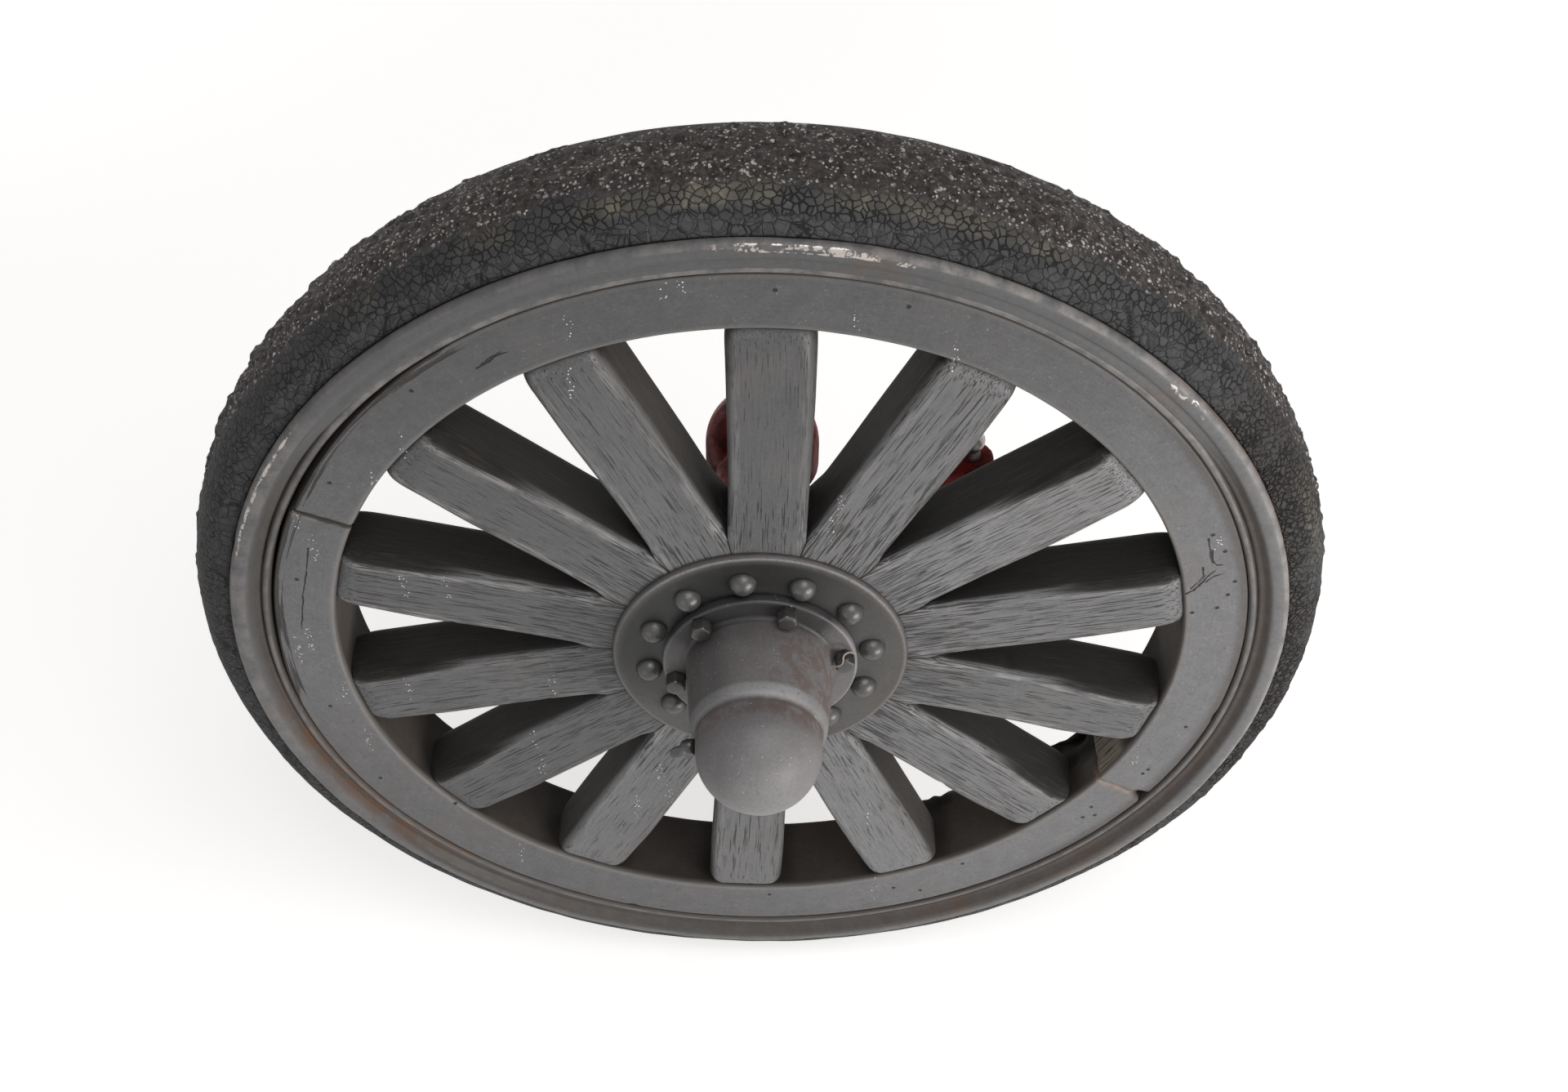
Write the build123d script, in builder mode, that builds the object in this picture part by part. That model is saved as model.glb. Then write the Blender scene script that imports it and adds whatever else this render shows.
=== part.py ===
from build123d import *
import math
import os

# Wooden-spoked wheel of an old delivery truck on its steering knuckle, in mm.
# Z is the kingpin axis (up), Y is the spindle axis with the outboard side at -Y, the truck runs towards -X.
# The origin is where the kingpin axis crosses the spindle axis.

os.makedirs("parts", exist_ok=True)

# ---------------------------------------------------------------- driving sizes
kingpin_offset = 185.0  # kingpin axis to the outboard face of the rim

tread_radius = 453.8
tyre_height = 49.3
tyre_width = 96.0  # between the rim's lips
tread_bulge = 4.0  # tyre beyond the rim's back lip
rim_thickness = 8.0
lip_height = 15.5
lip_width = 12.0
rim_flare = 8.0  # slope from the base up to the lip
band_thickness = 7.5
felloe_thickness = 50.0
felloe_depth = 74.0
felloe_set_back = 8.0  # felloe face behind the rim's face
felloe_joint_back = 119.8  # degrees from the top towards +X
felloe_joint_front = 294.1
felloe_inner_round = 4.0
felloe_outer_round = 2.5
rot_length = 56.0  # rotted hollow inside the lower half, next to the joint
rot_width = 84.0
rot_depth = 9.0

spoke_count = 14
first_spoke_angle = 2.0
# degrees that each spoke's outer end leans from its even place
spoke_leans = (-0.9, -0.3, -0.3, -0.3, 0.3, 0.3, 0.3, 0.2, -0.2, -0.5, -0.8, -0.9, -0.8, -1.2)
spoke_width = 60.0
spoke_end_width = 66.0
foot_depth = 57.0
end_depth = 54.0
foot_set_back = 5.0
end_set_back = 6.0
spoke_face_round = 6.0
spoke_back_round = 11.0
foot_round = 1.2
shoulder_length = 11.0
shoulder_drop = 3.5
tenon_radius = 15.0
tenon_length = 30.0
tenon_clearance = 0.2

hub_barrel_radius = 60.0
hub_flange_edge = 28.3  # flange and plate beyond their bolts
hub_flange_thickness = 8.0
hub_tail = 26.0  # barrel behind the back flange
hub_tail_step = 4.0  # tail smaller than the barrel
hub_throat = 26.0  # length of each running surface in the hub
hub_relief = 11.0  # grease space round the spindle
plate_thickness = 5.0
plate_round = 3.0

flange_bolt_count = 12
flange_bolt_offset = 30.7  # flange bolts outside the barrel
flange_bolt_phase = -8.8
flange_bolt_radius = 4.8
flange_head_radius = 11.0
flange_head_height = 10.0
flange_nut_flats = 17.5
flange_nut_height = 8.0

cap_flange_edge = 9.0  # cap's flange beyond its bolts
cap_flange_thickness = 9.0
cap_base_step = 0.8  # cap's barrel smaller than the hub's
cap_taper = 2.4  # lost over the first part of the barrel
cap_shoulder_step = 6.7
cap_length = 81.0  # flange seat to the shoulder
dome_step = 3.0
dome_straight = 13.0
cap_wall = 5.0
cap_bolt_count = 6
cap_bolt_offset = 9.0  # cap bolts outside the hub's barrel
cap_bolt_phase = 18.0
cap_bolt_radius = 3.9
cap_bolt_flats = 15.0
cap_bolt_height = 12.0

spindle_radius = 27.5
running_clearance = 0.05
spindle_tip_radius = 20.0
spindle_reach = 62.0  # tip beyond the rim's face
kingpin_bore_radius = 15.875
yoke_gap = 72.0
upper_boss_radius = 48.0
upper_boss_rise = 28.0  # centre of the round top above the gap
lower_boss_radius = 40.0
lower_boss_height = 48.0
web_width = 76.0
web_thickness = 40.0
web_clearance = 38.0  # kingpin axis to the web
web_round = 16.0
collar_radius = 46.0
hub_clearance = 5.3  # back end of the hub to the knuckle's collar

arm_height = 31.0
arm_thickness = 26.0
arm_root_radius = 20.0
arm_shank_radius = 14.0
eye_radius = 20.0
eye_x = 178.0
eye_y = 6.0
stud_radius = 8.0
stud_tail = 16.0
stud_nut_flats = 24.0
stud_nut_height = 12.0
ball_radius = 11.0
ball_rise = 31.0  # ball centre above the eye's centre
arm_nut_flats = 36.0
arm_nut_height = 18.0
pin_radius = 2.4

# ---------------------------------------------------------------- derived sizes
rim_base_radius = tread_radius - tyre_height
rim_radius = rim_base_radius + lip_height
band_outer_radius = rim_base_radius - rim_thickness
felloe_outer_radius = band_outer_radius - band_thickness
felloe_inner_radius = felloe_outer_radius - felloe_thickness
rim_face = -kingpin_offset
felloe_front = rim_face + felloe_set_back
felloe_back = felloe_front + felloe_depth
spoke_front = rim_face + foot_set_back
spoke_back = spoke_front + foot_depth
spoke_middle = (spoke_front + spoke_back) / 2
plate_front = spoke_front - plate_thickness
flange_bolt_circle = hub_barrel_radius + flange_bolt_offset
hub_flange_radius = flange_bolt_circle + hub_flange_edge
hub_tail_radius = hub_barrel_radius - hub_tail_step
cap_bolt_circle = hub_barrel_radius + cap_bolt_offset
cap_flange_radius = cap_bolt_circle + cap_flange_edge
cap_base_radius = hub_barrel_radius - cap_base_step
cap_shoulder_radius = cap_base_radius - cap_shoulder_step
dome_radius = cap_shoulder_radius - dome_step
flange_back = spoke_back + hub_flange_thickness
hub_end = flange_back + hub_tail
cap_seat = plate_front
cap_front = cap_seat - cap_flange_thickness
spoke_pitch = 360.0 / spoke_count
hub_bore_radius = spindle_radius + running_clearance
collar_front = hub_end + hub_clearance
ear_width = web_width - 6
web_outer = web_clearance + web_thickness
upper_boss_centre = yoke_gap / 2 + upper_boss_rise
arm_y = -web_clearance - web_thickness / 2 + 2
rot_turn = math.degrees(rot_length / 2 / felloe_inner_radius)
ball_height = arm_height + ball_rise


def radial(angle):
    return (math.sin(math.radians(angle)), 0.0, math.cos(math.radians(angle)))


def tangent(angle):
    return (math.cos(math.radians(angle)), 0.0, -math.sin(math.radians(angle)))


def at(radius, y, angle):
    return (radius * math.sin(math.radians(angle)), y, radius * math.cos(math.radians(angle)))


def half_plane(angle):
    # local x is the radius, local y is +Y
    t = math.radians(angle)
    return Plane(origin=(0, 0, 0), x_dir=(math.sin(t), 0, math.cos(t)), z_dir=(-math.cos(t), 0, math.sin(t)))


def across(radius, y, angle):
    # looks outwards along the radius, local x is the tangent, local y is +Y
    return Plane(origin=at(radius, y, angle), x_dir=tangent(angle), z_dir=radial(angle))


def facing(radius, y, angle):
    # looks out of the wheel towards -Y, local y is the radius
    return Plane(origin=at(radius, y, angle), x_dir=tangent(angle), z_dir=(0, -1, 0))


def hole_angles(count, phase):
    return [phase + index * 360 / count for index in range(count)]


spoke_angles = hole_angles(spoke_count, first_spoke_angle)
spoke_end_angles = [
    angle + spoke_leans[index % len(spoke_leans)] for index, angle in enumerate(spoke_angles)
]

# ---------------------------------------------------------------- tyre and rim
# the rim's section from the outboard lip to the inboard lip, shared with the tyre
lip_edge = rim_radius - 5.0
flare_radius = rim_base_radius + 3.5
back_lip = rim_face + lip_width + tyre_width
channel = [
    (lip_edge, rim_face + lip_width),
    (flare_radius, rim_face + lip_width + 2),
    (rim_base_radius, rim_face + lip_width + rim_flare),
    (rim_base_radius, back_lip - rim_flare),
    (flare_radius, back_lip - 2),
    (lip_edge, back_lip),
]

with BuildPart() as tyre:
    with BuildSketch(Plane.XY):
        with BuildLine():
            Polyline(*channel)
            Line(channel[0], (lip_edge + 5, rim_face + lip_width + 0.6))
            Spline(
                (lip_edge + 5, rim_face + lip_width + 0.6),
                (tread_radius - 16, rim_face + lip_width + 2.5),
                (tread_radius - 8, rim_face + lip_width + 12),
                (tread_radius - 2.5, rim_face + lip_width + 24),
                (tread_radius, rim_face + lip_width + 38),
                (tread_radius - 0.5, back_lip - 44),
                (tread_radius - 2, back_lip - 31),
                (tread_radius - 4, back_lip - 19),
                (tread_radius - 9, back_lip - 8),
                (tread_radius - 17, back_lip + tread_bulge),
                (tread_radius - 27, back_lip + tread_bulge - 2),
                (lip_edge + 5, back_lip - 0.4),
            )
            Line((lip_edge + 5, back_lip - 0.4), channel[-1])
        make_face()
    revolve(axis=Axis.Y)
tyre.part.label = "tyre"
export_step(tyre.part, "parts/tyre.step")

with BuildPart() as rim:
    with BuildSketch(Plane.XY):
        with BuildLine():
            Polyline(*channel)
            Line(channel[-1], (rim_radius - 1.5, back_lip + 2.5))
            Spline(
                (rim_radius - 1.5, back_lip + 2.5),
                (rim_radius - 1, back_lip + 5),
                (rim_radius - 4, back_lip + 8),
                (rim_base_radius + 3, back_lip + 8),
                (band_outer_radius, back_lip + 3),
            )
            Line((band_outer_radius, back_lip + 3), (band_outer_radius, rim_face + 9))
            Spline(
                (band_outer_radius, rim_face + 9),
                (band_outer_radius + 3, rim_face + 7.5),
                (band_outer_radius + 6.5, rim_face + 8),
                (rim_radius - 12, rim_face + 2),
                (rim_radius - 6, rim_face),
                (rim_radius - 1.5, rim_face + 2),
                (rim_radius, rim_face + 6),
                (rim_radius - 1.5, rim_face + 9.5),
            )
            Line((rim_radius - 1.5, rim_face + 9.5), channel[0])
        make_face()
    revolve(axis=Axis.Y)
rim.part.label = "rim"
export_step(rim.part, "parts/rim.step")

with BuildPart() as felloe_band:
    with BuildSketch(Plane.XY):
        with Locations(((felloe_outer_radius + band_outer_radius) / 2, (felloe_front + felloe_back) / 2)):
            Rectangle(band_thickness, felloe_depth + 4)
    revolve(axis=Axis.Y)
    fillet(felloe_band.edges().filter_by(GeomType.CIRCLE), band_thickness / 5)
felloe_band.part.label = "felloe_band"
export_step(felloe_band.part, "parts/felloe_band.step")

# ---------------------------------------------------------------- felloe in two bent halves
felloe_halves = (
    ("felloe_lower", felloe_joint_back, felloe_joint_front - felloe_joint_back),
    ("felloe_upper", felloe_joint_front, felloe_joint_back + 360 - felloe_joint_front),
)
for name, start, sweep in felloe_halves:
    with BuildPart() as felloe:
        with BuildSketch(half_plane(start)):
            with Locations(((felloe_outer_radius + felloe_inner_radius) / 2, (felloe_front + felloe_back) / 2)):
                Rectangle(felloe_thickness, felloe_depth)
            fillet(vertices().group_by(Axis.X)[0], felloe_inner_round)
            fillet(vertices().group_by(Axis.X)[-1], felloe_outer_round)
        revolve(axis=Axis.Y, revolution_arc=sweep)
        for angle in spoke_end_angles:
            with BuildSketch(across(felloe_inner_radius - 2, spoke_middle, angle)):
                Circle(tenon_radius + tenon_clearance)
            extrude(amount=tenon_length + 3, mode=Mode.SUBTRACT)
        with BuildSketch(across(0, felloe_back, felloe_joint_back + rot_turn)):
            Ellipse(rot_length / 2, rot_width / 2)
        extrude(amount=felloe_inner_radius + rot_depth, mode=Mode.SUBTRACT)
    felloe.part.label = name
    export_step(felloe.part, "parts/" + name + ".step")

# ---------------------------------------------------------------- spokes
foot_reach = 1.2 * spoke_width / (2 * math.sin(math.radians(spoke_pitch / 2)))
mitre_width = foot_reach * math.tan(math.radians(spoke_pitch / 2))
throat_radius = spoke_width / (2 * math.tan(math.radians(spoke_pitch / 2)))
shoulder_radius = felloe_inner_radius - shoulder_length
crown_radius = throat_radius * 1.45
crown_share = (crown_radius - throat_radius) / (shoulder_radius - throat_radius)
# radius, width, front, back, front round, back round of each section
spoke_sections = [
    (hub_barrel_radius - 5, spoke_width, spoke_front, spoke_back, foot_round, foot_round),
    (throat_radius, spoke_width, spoke_front, spoke_back, foot_round, foot_round),
    (
        crown_radius,
        spoke_width + (spoke_end_width - spoke_width) * crown_share,
        spoke_front + 1,
        spoke_back,
        spoke_face_round,
        spoke_back_round,
    ),
    (
        shoulder_radius,
        spoke_end_width,
        rim_face + end_set_back,
        rim_face + end_set_back + end_depth,
        spoke_face_round,
        spoke_back_round,
    ),
    (
        felloe_inner_radius + 2,
        spoke_end_width - 2 * shoulder_drop,
        rim_face + end_set_back + shoulder_drop,
        rim_face + end_set_back + end_depth - shoulder_drop,
        spoke_face_round,
        spoke_back_round - shoulder_drop,
    ),
]
for index, (angle, end_angle) in enumerate(zip(spoke_angles, spoke_end_angles)):
    name = "spoke_" + str(index + 1).zfill(2)
    with BuildPart() as spoke:
        for radius, width, front, back, face_round, back_round in spoke_sections:
            share = min(1, max(0, (radius - throat_radius) / (shoulder_radius - throat_radius)))
            with BuildSketch(across(radius, (front + back) / 2, angle + (end_angle - angle) * share)):
                Rectangle(width, back - front)
                fillet(vertices().group_by(Axis.Y)[0], face_round)
                fillet(vertices().group_by(Axis.Y)[-1], back_round)
        loft(ruled=True)
        with BuildSketch(facing(0, spoke_middle, angle)):
            with BuildLine():
                Polyline(
                    (0, 0),
                    (mitre_width, foot_reach),
                    (spoke_width, foot_reach),
                    (spoke_width, felloe_outer_radius),
                    (-spoke_width, felloe_outer_radius),
                    (-spoke_width, foot_reach),
                    (-mitre_width, foot_reach),
                    (0, 0),
                )
            make_face()
        extrude(amount=foot_depth, both=True, mode=Mode.INTERSECT)
        with BuildSketch(facing(0, spoke_middle, 0)):
            Circle(felloe_inner_radius)
            Circle(hub_barrel_radius, mode=Mode.SUBTRACT)
        extrude(amount=foot_depth, both=True, mode=Mode.INTERSECT)
        with BuildSketch(across(shoulder_radius, spoke_middle, end_angle)):
            Circle(tenon_radius)
        extrude(amount=shoulder_length + tenon_length)
        for bolt_angle in hole_angles(flange_bolt_count, flange_bolt_phase):
            with BuildSketch(facing(flange_bolt_circle, spoke_middle, bolt_angle)):
                Circle(flange_bolt_radius)
            extrude(amount=foot_depth, both=True, mode=Mode.SUBTRACT)
    spoke.part.label = name
    export_step(spoke.part, "parts/" + name + ".step")

# ---------------------------------------------------------------- hub, plate and their bolts
with BuildPart() as hub:
    with BuildSketch(Plane.XY):
        with BuildLine():
            Polyline(
                (hub_bore_radius, cap_seat),
                (hub_barrel_radius, cap_seat),
                (hub_barrel_radius, spoke_back),
                (hub_flange_radius, spoke_back),
                (hub_flange_radius, flange_back - 3),
                (hub_flange_radius - 3, flange_back),
                (hub_tail_radius + 12, flange_back),
                (hub_tail_radius + 3, flange_back + 3),
                (hub_tail_radius, flange_back + 11),
                (hub_tail_radius, hub_end - 3),
                (hub_tail_radius - 3, hub_end),
                (hub_bore_radius, hub_end),
                (hub_bore_radius, hub_end - hub_throat),
                (hub_bore_radius + hub_relief, hub_end - hub_throat - 4),
                (hub_bore_radius + hub_relief, cap_seat + hub_throat + 4),
                (hub_bore_radius, cap_seat + hub_throat),
                (hub_bore_radius, cap_seat),
            )
        make_face()
    revolve(axis=Axis.Y)
    for bolt_angle in hole_angles(flange_bolt_count, flange_bolt_phase):
        with BuildSketch(facing(flange_bolt_circle, flange_back, bolt_angle)):
            Circle(flange_bolt_radius)
        extrude(amount=hub_flange_thickness, mode=Mode.SUBTRACT)
hub.part.label = "hub"
export_step(hub.part, "parts/hub.step")

with BuildPart() as hub_plate:
    with BuildSketch(facing(0, spoke_front, 0)):
        Circle(hub_flange_radius)
        Circle(hub_barrel_radius, mode=Mode.SUBTRACT)
    extrude(amount=plate_thickness)
    fillet(hub_plate.edges().group_by(Axis.Y)[0].sort_by(SortBy.LENGTH)[-1], plate_round)
    for bolt_angle in hole_angles(flange_bolt_count, flange_bolt_phase):
        with BuildSketch(facing(flange_bolt_circle, spoke_front, bolt_angle)):
            Circle(flange_bolt_radius)
        extrude(amount=plate_thickness, mode=Mode.SUBTRACT)
    for bolt_angle in hole_angles(cap_bolt_count, cap_bolt_phase):
        with BuildSketch(facing(cap_bolt_circle, spoke_front, bolt_angle)):
            Circle(cap_bolt_radius)
        extrude(amount=plate_thickness, mode=Mode.SUBTRACT)
hub_plate.part.label = "hub_plate"
export_step(hub_plate.part, "parts/hub_plate.step")

# a round head is a slice of a ball through its rim and its top
head_ball = (flange_head_radius**2 + flange_head_height**2) / (2 * flange_head_height)
head_sweep = math.asin(flange_head_radius / head_ball) / 2
head_shoulder = (
    head_ball * math.sin(head_sweep),
    head_ball - flange_head_height - head_ball * math.cos(head_sweep),
)
with BuildPart() as flange_bolts:
    for bolt_angle in hole_angles(flange_bolt_count, flange_bolt_phase):
        bolt_x, _, bolt_z = at(flange_bolt_circle, 0, bolt_angle)
        with BuildSketch(facing(flange_bolt_circle, flange_back + flange_nut_height, bolt_angle)):
            Circle(flange_bolt_radius)
        extrude(amount=flange_back + flange_nut_height - plate_front)
        with BuildSketch(facing(flange_bolt_circle, flange_back + flange_nut_height, bolt_angle)):
            RegularPolygon(flange_nut_flats / 2, 6, major_radius=False)
        extrude(amount=flange_nut_height)
        with BuildSketch(Plane(origin=(bolt_x, plate_front, bolt_z), x_dir=(1, 0, 0), z_dir=(0, 0, 1))):
            with BuildLine():
                Line((0, 0), (0, -flange_head_height))
                ThreePointArc((0, -flange_head_height), head_shoulder, (flange_head_radius, 0))
                Line((flange_head_radius, 0), (0, 0))
            make_face()
        revolve(axis=Axis((bolt_x, 0, bolt_z), (0, 1, 0)))
flange_bolts.part.label = "flange_bolts"
export_step(flange_bolts.part, "parts/flange_bolts.step")

# ---------------------------------------------------------------- hub cap and its bolts
shoulder = cap_seat - cap_length
dome_start = shoulder - dome_straight
dome_inside = dome_radius - cap_wall
with BuildPart() as hub_cap:
    with BuildSketch(Plane.XY):
        with BuildLine():
            Polyline(
                (dome_inside, dome_start),
                (dome_inside, shoulder),
                (cap_shoulder_radius - cap_wall - 2, shoulder + 4),
                (cap_base_radius - cap_wall - 2, cap_front),
                (cap_base_radius - cap_wall - 2, cap_seat),
                (cap_flange_radius, cap_seat),
                (cap_flange_radius, cap_front + 2),
                (cap_flange_radius - 2, cap_front),
                (cap_base_radius, cap_front),
            )
            Spline(
                (cap_base_radius, cap_front),
                (cap_base_radius - cap_taper, (cap_front + shoulder) / 2 - 9),
                (cap_shoulder_radius + 0.9, shoulder + 6),
                (cap_shoulder_radius - 0.6, shoulder + 1.2),
                (cap_shoulder_radius - 2.2, shoulder),
            )
            Polyline(
                (cap_shoulder_radius - 2.2, shoulder),
                (dome_radius, shoulder + 0.6),
                (dome_radius, dome_start),
            )
            RadiusArc((dome_radius, dome_start), (0, dome_start - dome_radius), dome_radius)
            Line((0, dome_start - dome_radius), (0, dome_start - dome_inside))
            RadiusArc((0, dome_start - dome_inside), (dome_inside, dome_start), -dome_inside)
        make_face()
    revolve(axis=Axis.Y)
    for bolt_angle in hole_angles(cap_bolt_count, cap_bolt_phase):
        with BuildSketch(facing(cap_bolt_circle, cap_seat, bolt_angle)):
            Circle(cap_bolt_radius)
        extrude(amount=cap_flange_thickness, mode=Mode.SUBTRACT)
hub_cap.part.label = "hub_cap"
export_step(hub_cap.part, "parts/hub_cap.step")

with BuildPart() as cap_bolts:
    for index, bolt_angle in enumerate(hole_angles(cap_bolt_count, cap_bolt_phase)):
        with BuildSketch(facing(cap_bolt_circle, spoke_front, bolt_angle)):
            Circle(cap_bolt_radius)
        extrude(amount=plate_thickness + cap_flange_thickness)
        with BuildSketch(facing(cap_bolt_circle, cap_front, bolt_angle)):
            RegularPolygon(cap_bolt_flats / 2, 6, major_radius=False, rotation=17 * index)
        extrude(amount=cap_bolt_height)
cap_bolts.part.label = "cap_bolts"
export_step(cap_bolts.part, "parts/cap_bolts.step")

# ---------------------------------------------------------------- steering knuckle
ear_depth = web_clearance + 10
with BuildPart() as knuckle:
    with BuildSketch(Plane.XZ.offset(web_clearance)):
        RectangleRounded(web_width, yoke_gap + 2 * lower_boss_height, web_round)
    extrude(amount=web_thickness)
    with BuildSketch(Plane.XY):
        with BuildLine():
            Polyline(
                (0, -web_outer + 6),
                (collar_radius + 6, -web_outer + 1),
                (collar_radius, collar_front + 3),
                (collar_radius - 2, collar_front),
                (spindle_radius, collar_front),
                (spindle_radius, rim_face + 4),
                (spindle_tip_radius, rim_face - 4),
                (spindle_tip_radius, rim_face - spindle_reach + 2),
                (spindle_tip_radius - 2, rim_face - spindle_reach),
                (0, rim_face - spindle_reach),
                (0, -web_outer + 6),
            )
        make_face()
    revolve(axis=Axis.Y)
    with BuildSketch(Plane.YZ.offset(-web_width)):
        with Locations((arm_y, arm_height)):
            Circle(arm_shank_radius)
    extrude(amount=2 * web_width, mode=Mode.SUBTRACT)
knuckle.part.label = "knuckle"
export_step(knuckle.part, "parts/knuckle.step")

# the two bosses round the kingpin end on the web's inboard face
with BuildPart() as upper_boss:
    with BuildSketch(Plane.XY.offset(yoke_gap / 2)):
        Circle(upper_boss_radius)
        with Locations((0, -ear_depth / 2)):
            Rectangle(ear_width, ear_depth)
    extrude(amount=upper_boss_rise)
    with Locations((0, 0, upper_boss_centre)):
        Sphere(upper_boss_radius)
    with BuildSketch(Plane.XY.offset(yoke_gap / 2)):
        Rectangle(2 * upper_boss_radius + 4, 2 * upper_boss_radius + 4)
    extrude(amount=-yoke_gap, mode=Mode.SUBTRACT)
    with BuildSketch(Plane.XZ.offset(web_clearance)):
        with Locations((0, upper_boss_centre)):
            Rectangle(4 * upper_boss_radius, 4 * upper_boss_radius)
    extrude(amount=web_thickness, mode=Mode.SUBTRACT)
    with BuildSketch(Plane.XY):
        Circle(kingpin_bore_radius)
    extrude(amount=2 * yoke_gap, mode=Mode.SUBTRACT)
upper_boss.part.label = "upper_boss"
export_step(upper_boss.part, "parts/upper_boss.step")

with BuildPart() as lower_boss:
    with BuildSketch(Plane.XY.offset(-yoke_gap / 2)):
        Circle(lower_boss_radius)
        with Locations((0, -ear_depth / 2)):
            Rectangle(ear_width, ear_depth)
    extrude(amount=-lower_boss_height)
    with BuildSketch(Plane.XZ.offset(web_clearance)):
        Rectangle(4 * yoke_gap, 4 * yoke_gap)
    extrude(amount=web_thickness, mode=Mode.SUBTRACT)
    with BuildSketch(Plane.XY):
        Circle(kingpin_bore_radius)
    extrude(amount=-2 * yoke_gap, mode=Mode.SUBTRACT)
lower_boss.part.label = "lower_boss"
export_step(lower_boss.part, "parts/lower_boss.step")

# the arm bends from the web to its eye, thinner towards the eye
with BuildPart() as tie_rod_arm:
    with BuildSketch(Plane.YZ.offset(-web_width / 2 - arm_nut_height - 5)):
        with Locations((arm_y, arm_height)):
            Circle(arm_shank_radius)
    extrude(amount=web_width + arm_nut_height + 8)
    with BuildSketch(Plane.YZ.offset(web_width / 2)):
        with Locations((arm_y, arm_height)):
            Circle(arm_root_radius)
    extrude(amount=14)
    with BuildSketch(Plane.XY.offset(arm_height - arm_thickness / 2)):
        with BuildLine():
            Line((web_width / 2 + 10, arm_y + 19), (web_width / 2 + 10, arm_y - 19))
            Spline(
                (web_width / 2 + 10, arm_y - 19),
                (web_width / 2 + 60, arm_y - 9),
                (eye_x - 30, eye_y - 31),
                (eye_x + 12, eye_y - 16),
            )
            Line((eye_x + 12, eye_y - 16), (eye_x - 12, eye_y + 16))
            Spline(
                (eye_x - 12, eye_y + 16),
                (eye_x - 50, eye_y - 8),
                (web_width / 2 + 46, arm_y + 24),
                (web_width / 2 + 10, arm_y + 19),
            )
        make_face()
        with Locations((eye_x, eye_y)):
            Circle(eye_radius)
    extrude(amount=arm_thickness)
    with BuildSketch(Plane.XY.offset(arm_height)):
        with Locations((eye_x, eye_y)):
            Circle(stud_radius)
    extrude(amount=arm_thickness, both=True, mode=Mode.SUBTRACT)
    with BuildSketch(Plane.XY.offset(arm_height)):
        with Locations((-web_width / 2 - arm_nut_height + 3, arm_y)):
            Circle(pin_radius)
    extrude(amount=arm_nut_flats, both=True, mode=Mode.SUBTRACT)
tie_rod_arm.part.label = "tie_rod_arm"
export_step(tie_rod_arm.part, "parts/tie_rod_arm.step")

with BuildPart() as arm_nut:
    with BuildSketch(Plane.YZ.offset(-web_width / 2 - arm_nut_height)):
        with Locations((arm_y, arm_height)):
            RegularPolygon(arm_nut_flats / 2, 6, major_radius=False)
            Circle(arm_shank_radius, mode=Mode.SUBTRACT)
    extrude(amount=arm_nut_height)
    for slot_turn in (0, 60, 120):
        with BuildSketch(Plane.YZ.offset(-web_width / 2 - arm_nut_height)):
            with Locations((arm_y, arm_height)):
                Rectangle(2 * arm_nut_flats, 2 * pin_radius, rotation=30 + slot_turn)
        extrude(amount=6, mode=Mode.SUBTRACT)
arm_nut.part.label = "arm_nut"
export_step(arm_nut.part, "parts/arm_nut.step")

stud_bottom = arm_height - arm_thickness / 2 - stud_tail
with BuildPart() as ball_stud:
    with BuildSketch(Plane.XY.offset(stud_bottom)):
        with Locations((eye_x, eye_y)):
            Circle(stud_radius)
    extrude(amount=ball_height - stud_bottom)
    with BuildSketch(Plane.XY.offset(arm_height - arm_thickness / 2 - stud_nut_height)):
        with Locations((eye_x, eye_y)):
            RegularPolygon(stud_nut_flats / 2, 6, major_radius=False)
    extrude(amount=stud_nut_height)
    with Locations((eye_x, eye_y, ball_height)):
        Sphere(ball_radius)
ball_stud.part.label = "ball_stud"
export_step(ball_stud.part, "parts/ball_stud.step")
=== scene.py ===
"""The looks of an old wooden-spoked truck wheel on its steering knuckle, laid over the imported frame.

Lengths are metres. The wheel turns about Y, its outboard side faces -Y, and the kingpin is the Z axis.
Angles round the wheel are degrees from the top, clockwise as seen from outboard.
"""

import itertools
import math

import bmesh
import bpy
import numpy as np
from bpy.props import FloatProperty, FloatVectorProperty, IntProperty, PointerProperty
from mathutils import Matrix, Vector


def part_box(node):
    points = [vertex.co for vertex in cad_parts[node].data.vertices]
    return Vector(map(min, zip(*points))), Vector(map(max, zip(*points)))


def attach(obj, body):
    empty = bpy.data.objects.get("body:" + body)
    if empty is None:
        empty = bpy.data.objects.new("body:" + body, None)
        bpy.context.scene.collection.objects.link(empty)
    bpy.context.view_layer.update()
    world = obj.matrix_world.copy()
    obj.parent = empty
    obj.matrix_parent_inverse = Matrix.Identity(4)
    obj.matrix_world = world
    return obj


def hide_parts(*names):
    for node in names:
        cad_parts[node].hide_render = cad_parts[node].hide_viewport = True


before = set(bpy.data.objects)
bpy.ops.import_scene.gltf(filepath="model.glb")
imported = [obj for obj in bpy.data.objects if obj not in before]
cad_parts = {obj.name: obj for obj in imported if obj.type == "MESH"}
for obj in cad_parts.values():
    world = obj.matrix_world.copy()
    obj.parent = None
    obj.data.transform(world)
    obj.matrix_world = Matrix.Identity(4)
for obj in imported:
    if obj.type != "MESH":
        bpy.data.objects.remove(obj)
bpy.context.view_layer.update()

bl_info = {
    "name": "Old truck wheel",
    "version": (1, 0, 0),
    "blender": (4, 5, 0),
    "location": "View3D > Sidebar > Old wheel",
    "description": "Builds a weathered wooden-spoked wheel with a cracked solid tyre on its steering knuckle",
    "category": "Object",
}

MM = 0.001
# the Y of the rim's outboard edge
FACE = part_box("rim")[0].y
# metres in from the face to the rim's back, and the radius at which the tyre sits in it
RIM_BACK, CHANNEL = 0.108, 0.4045
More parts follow.
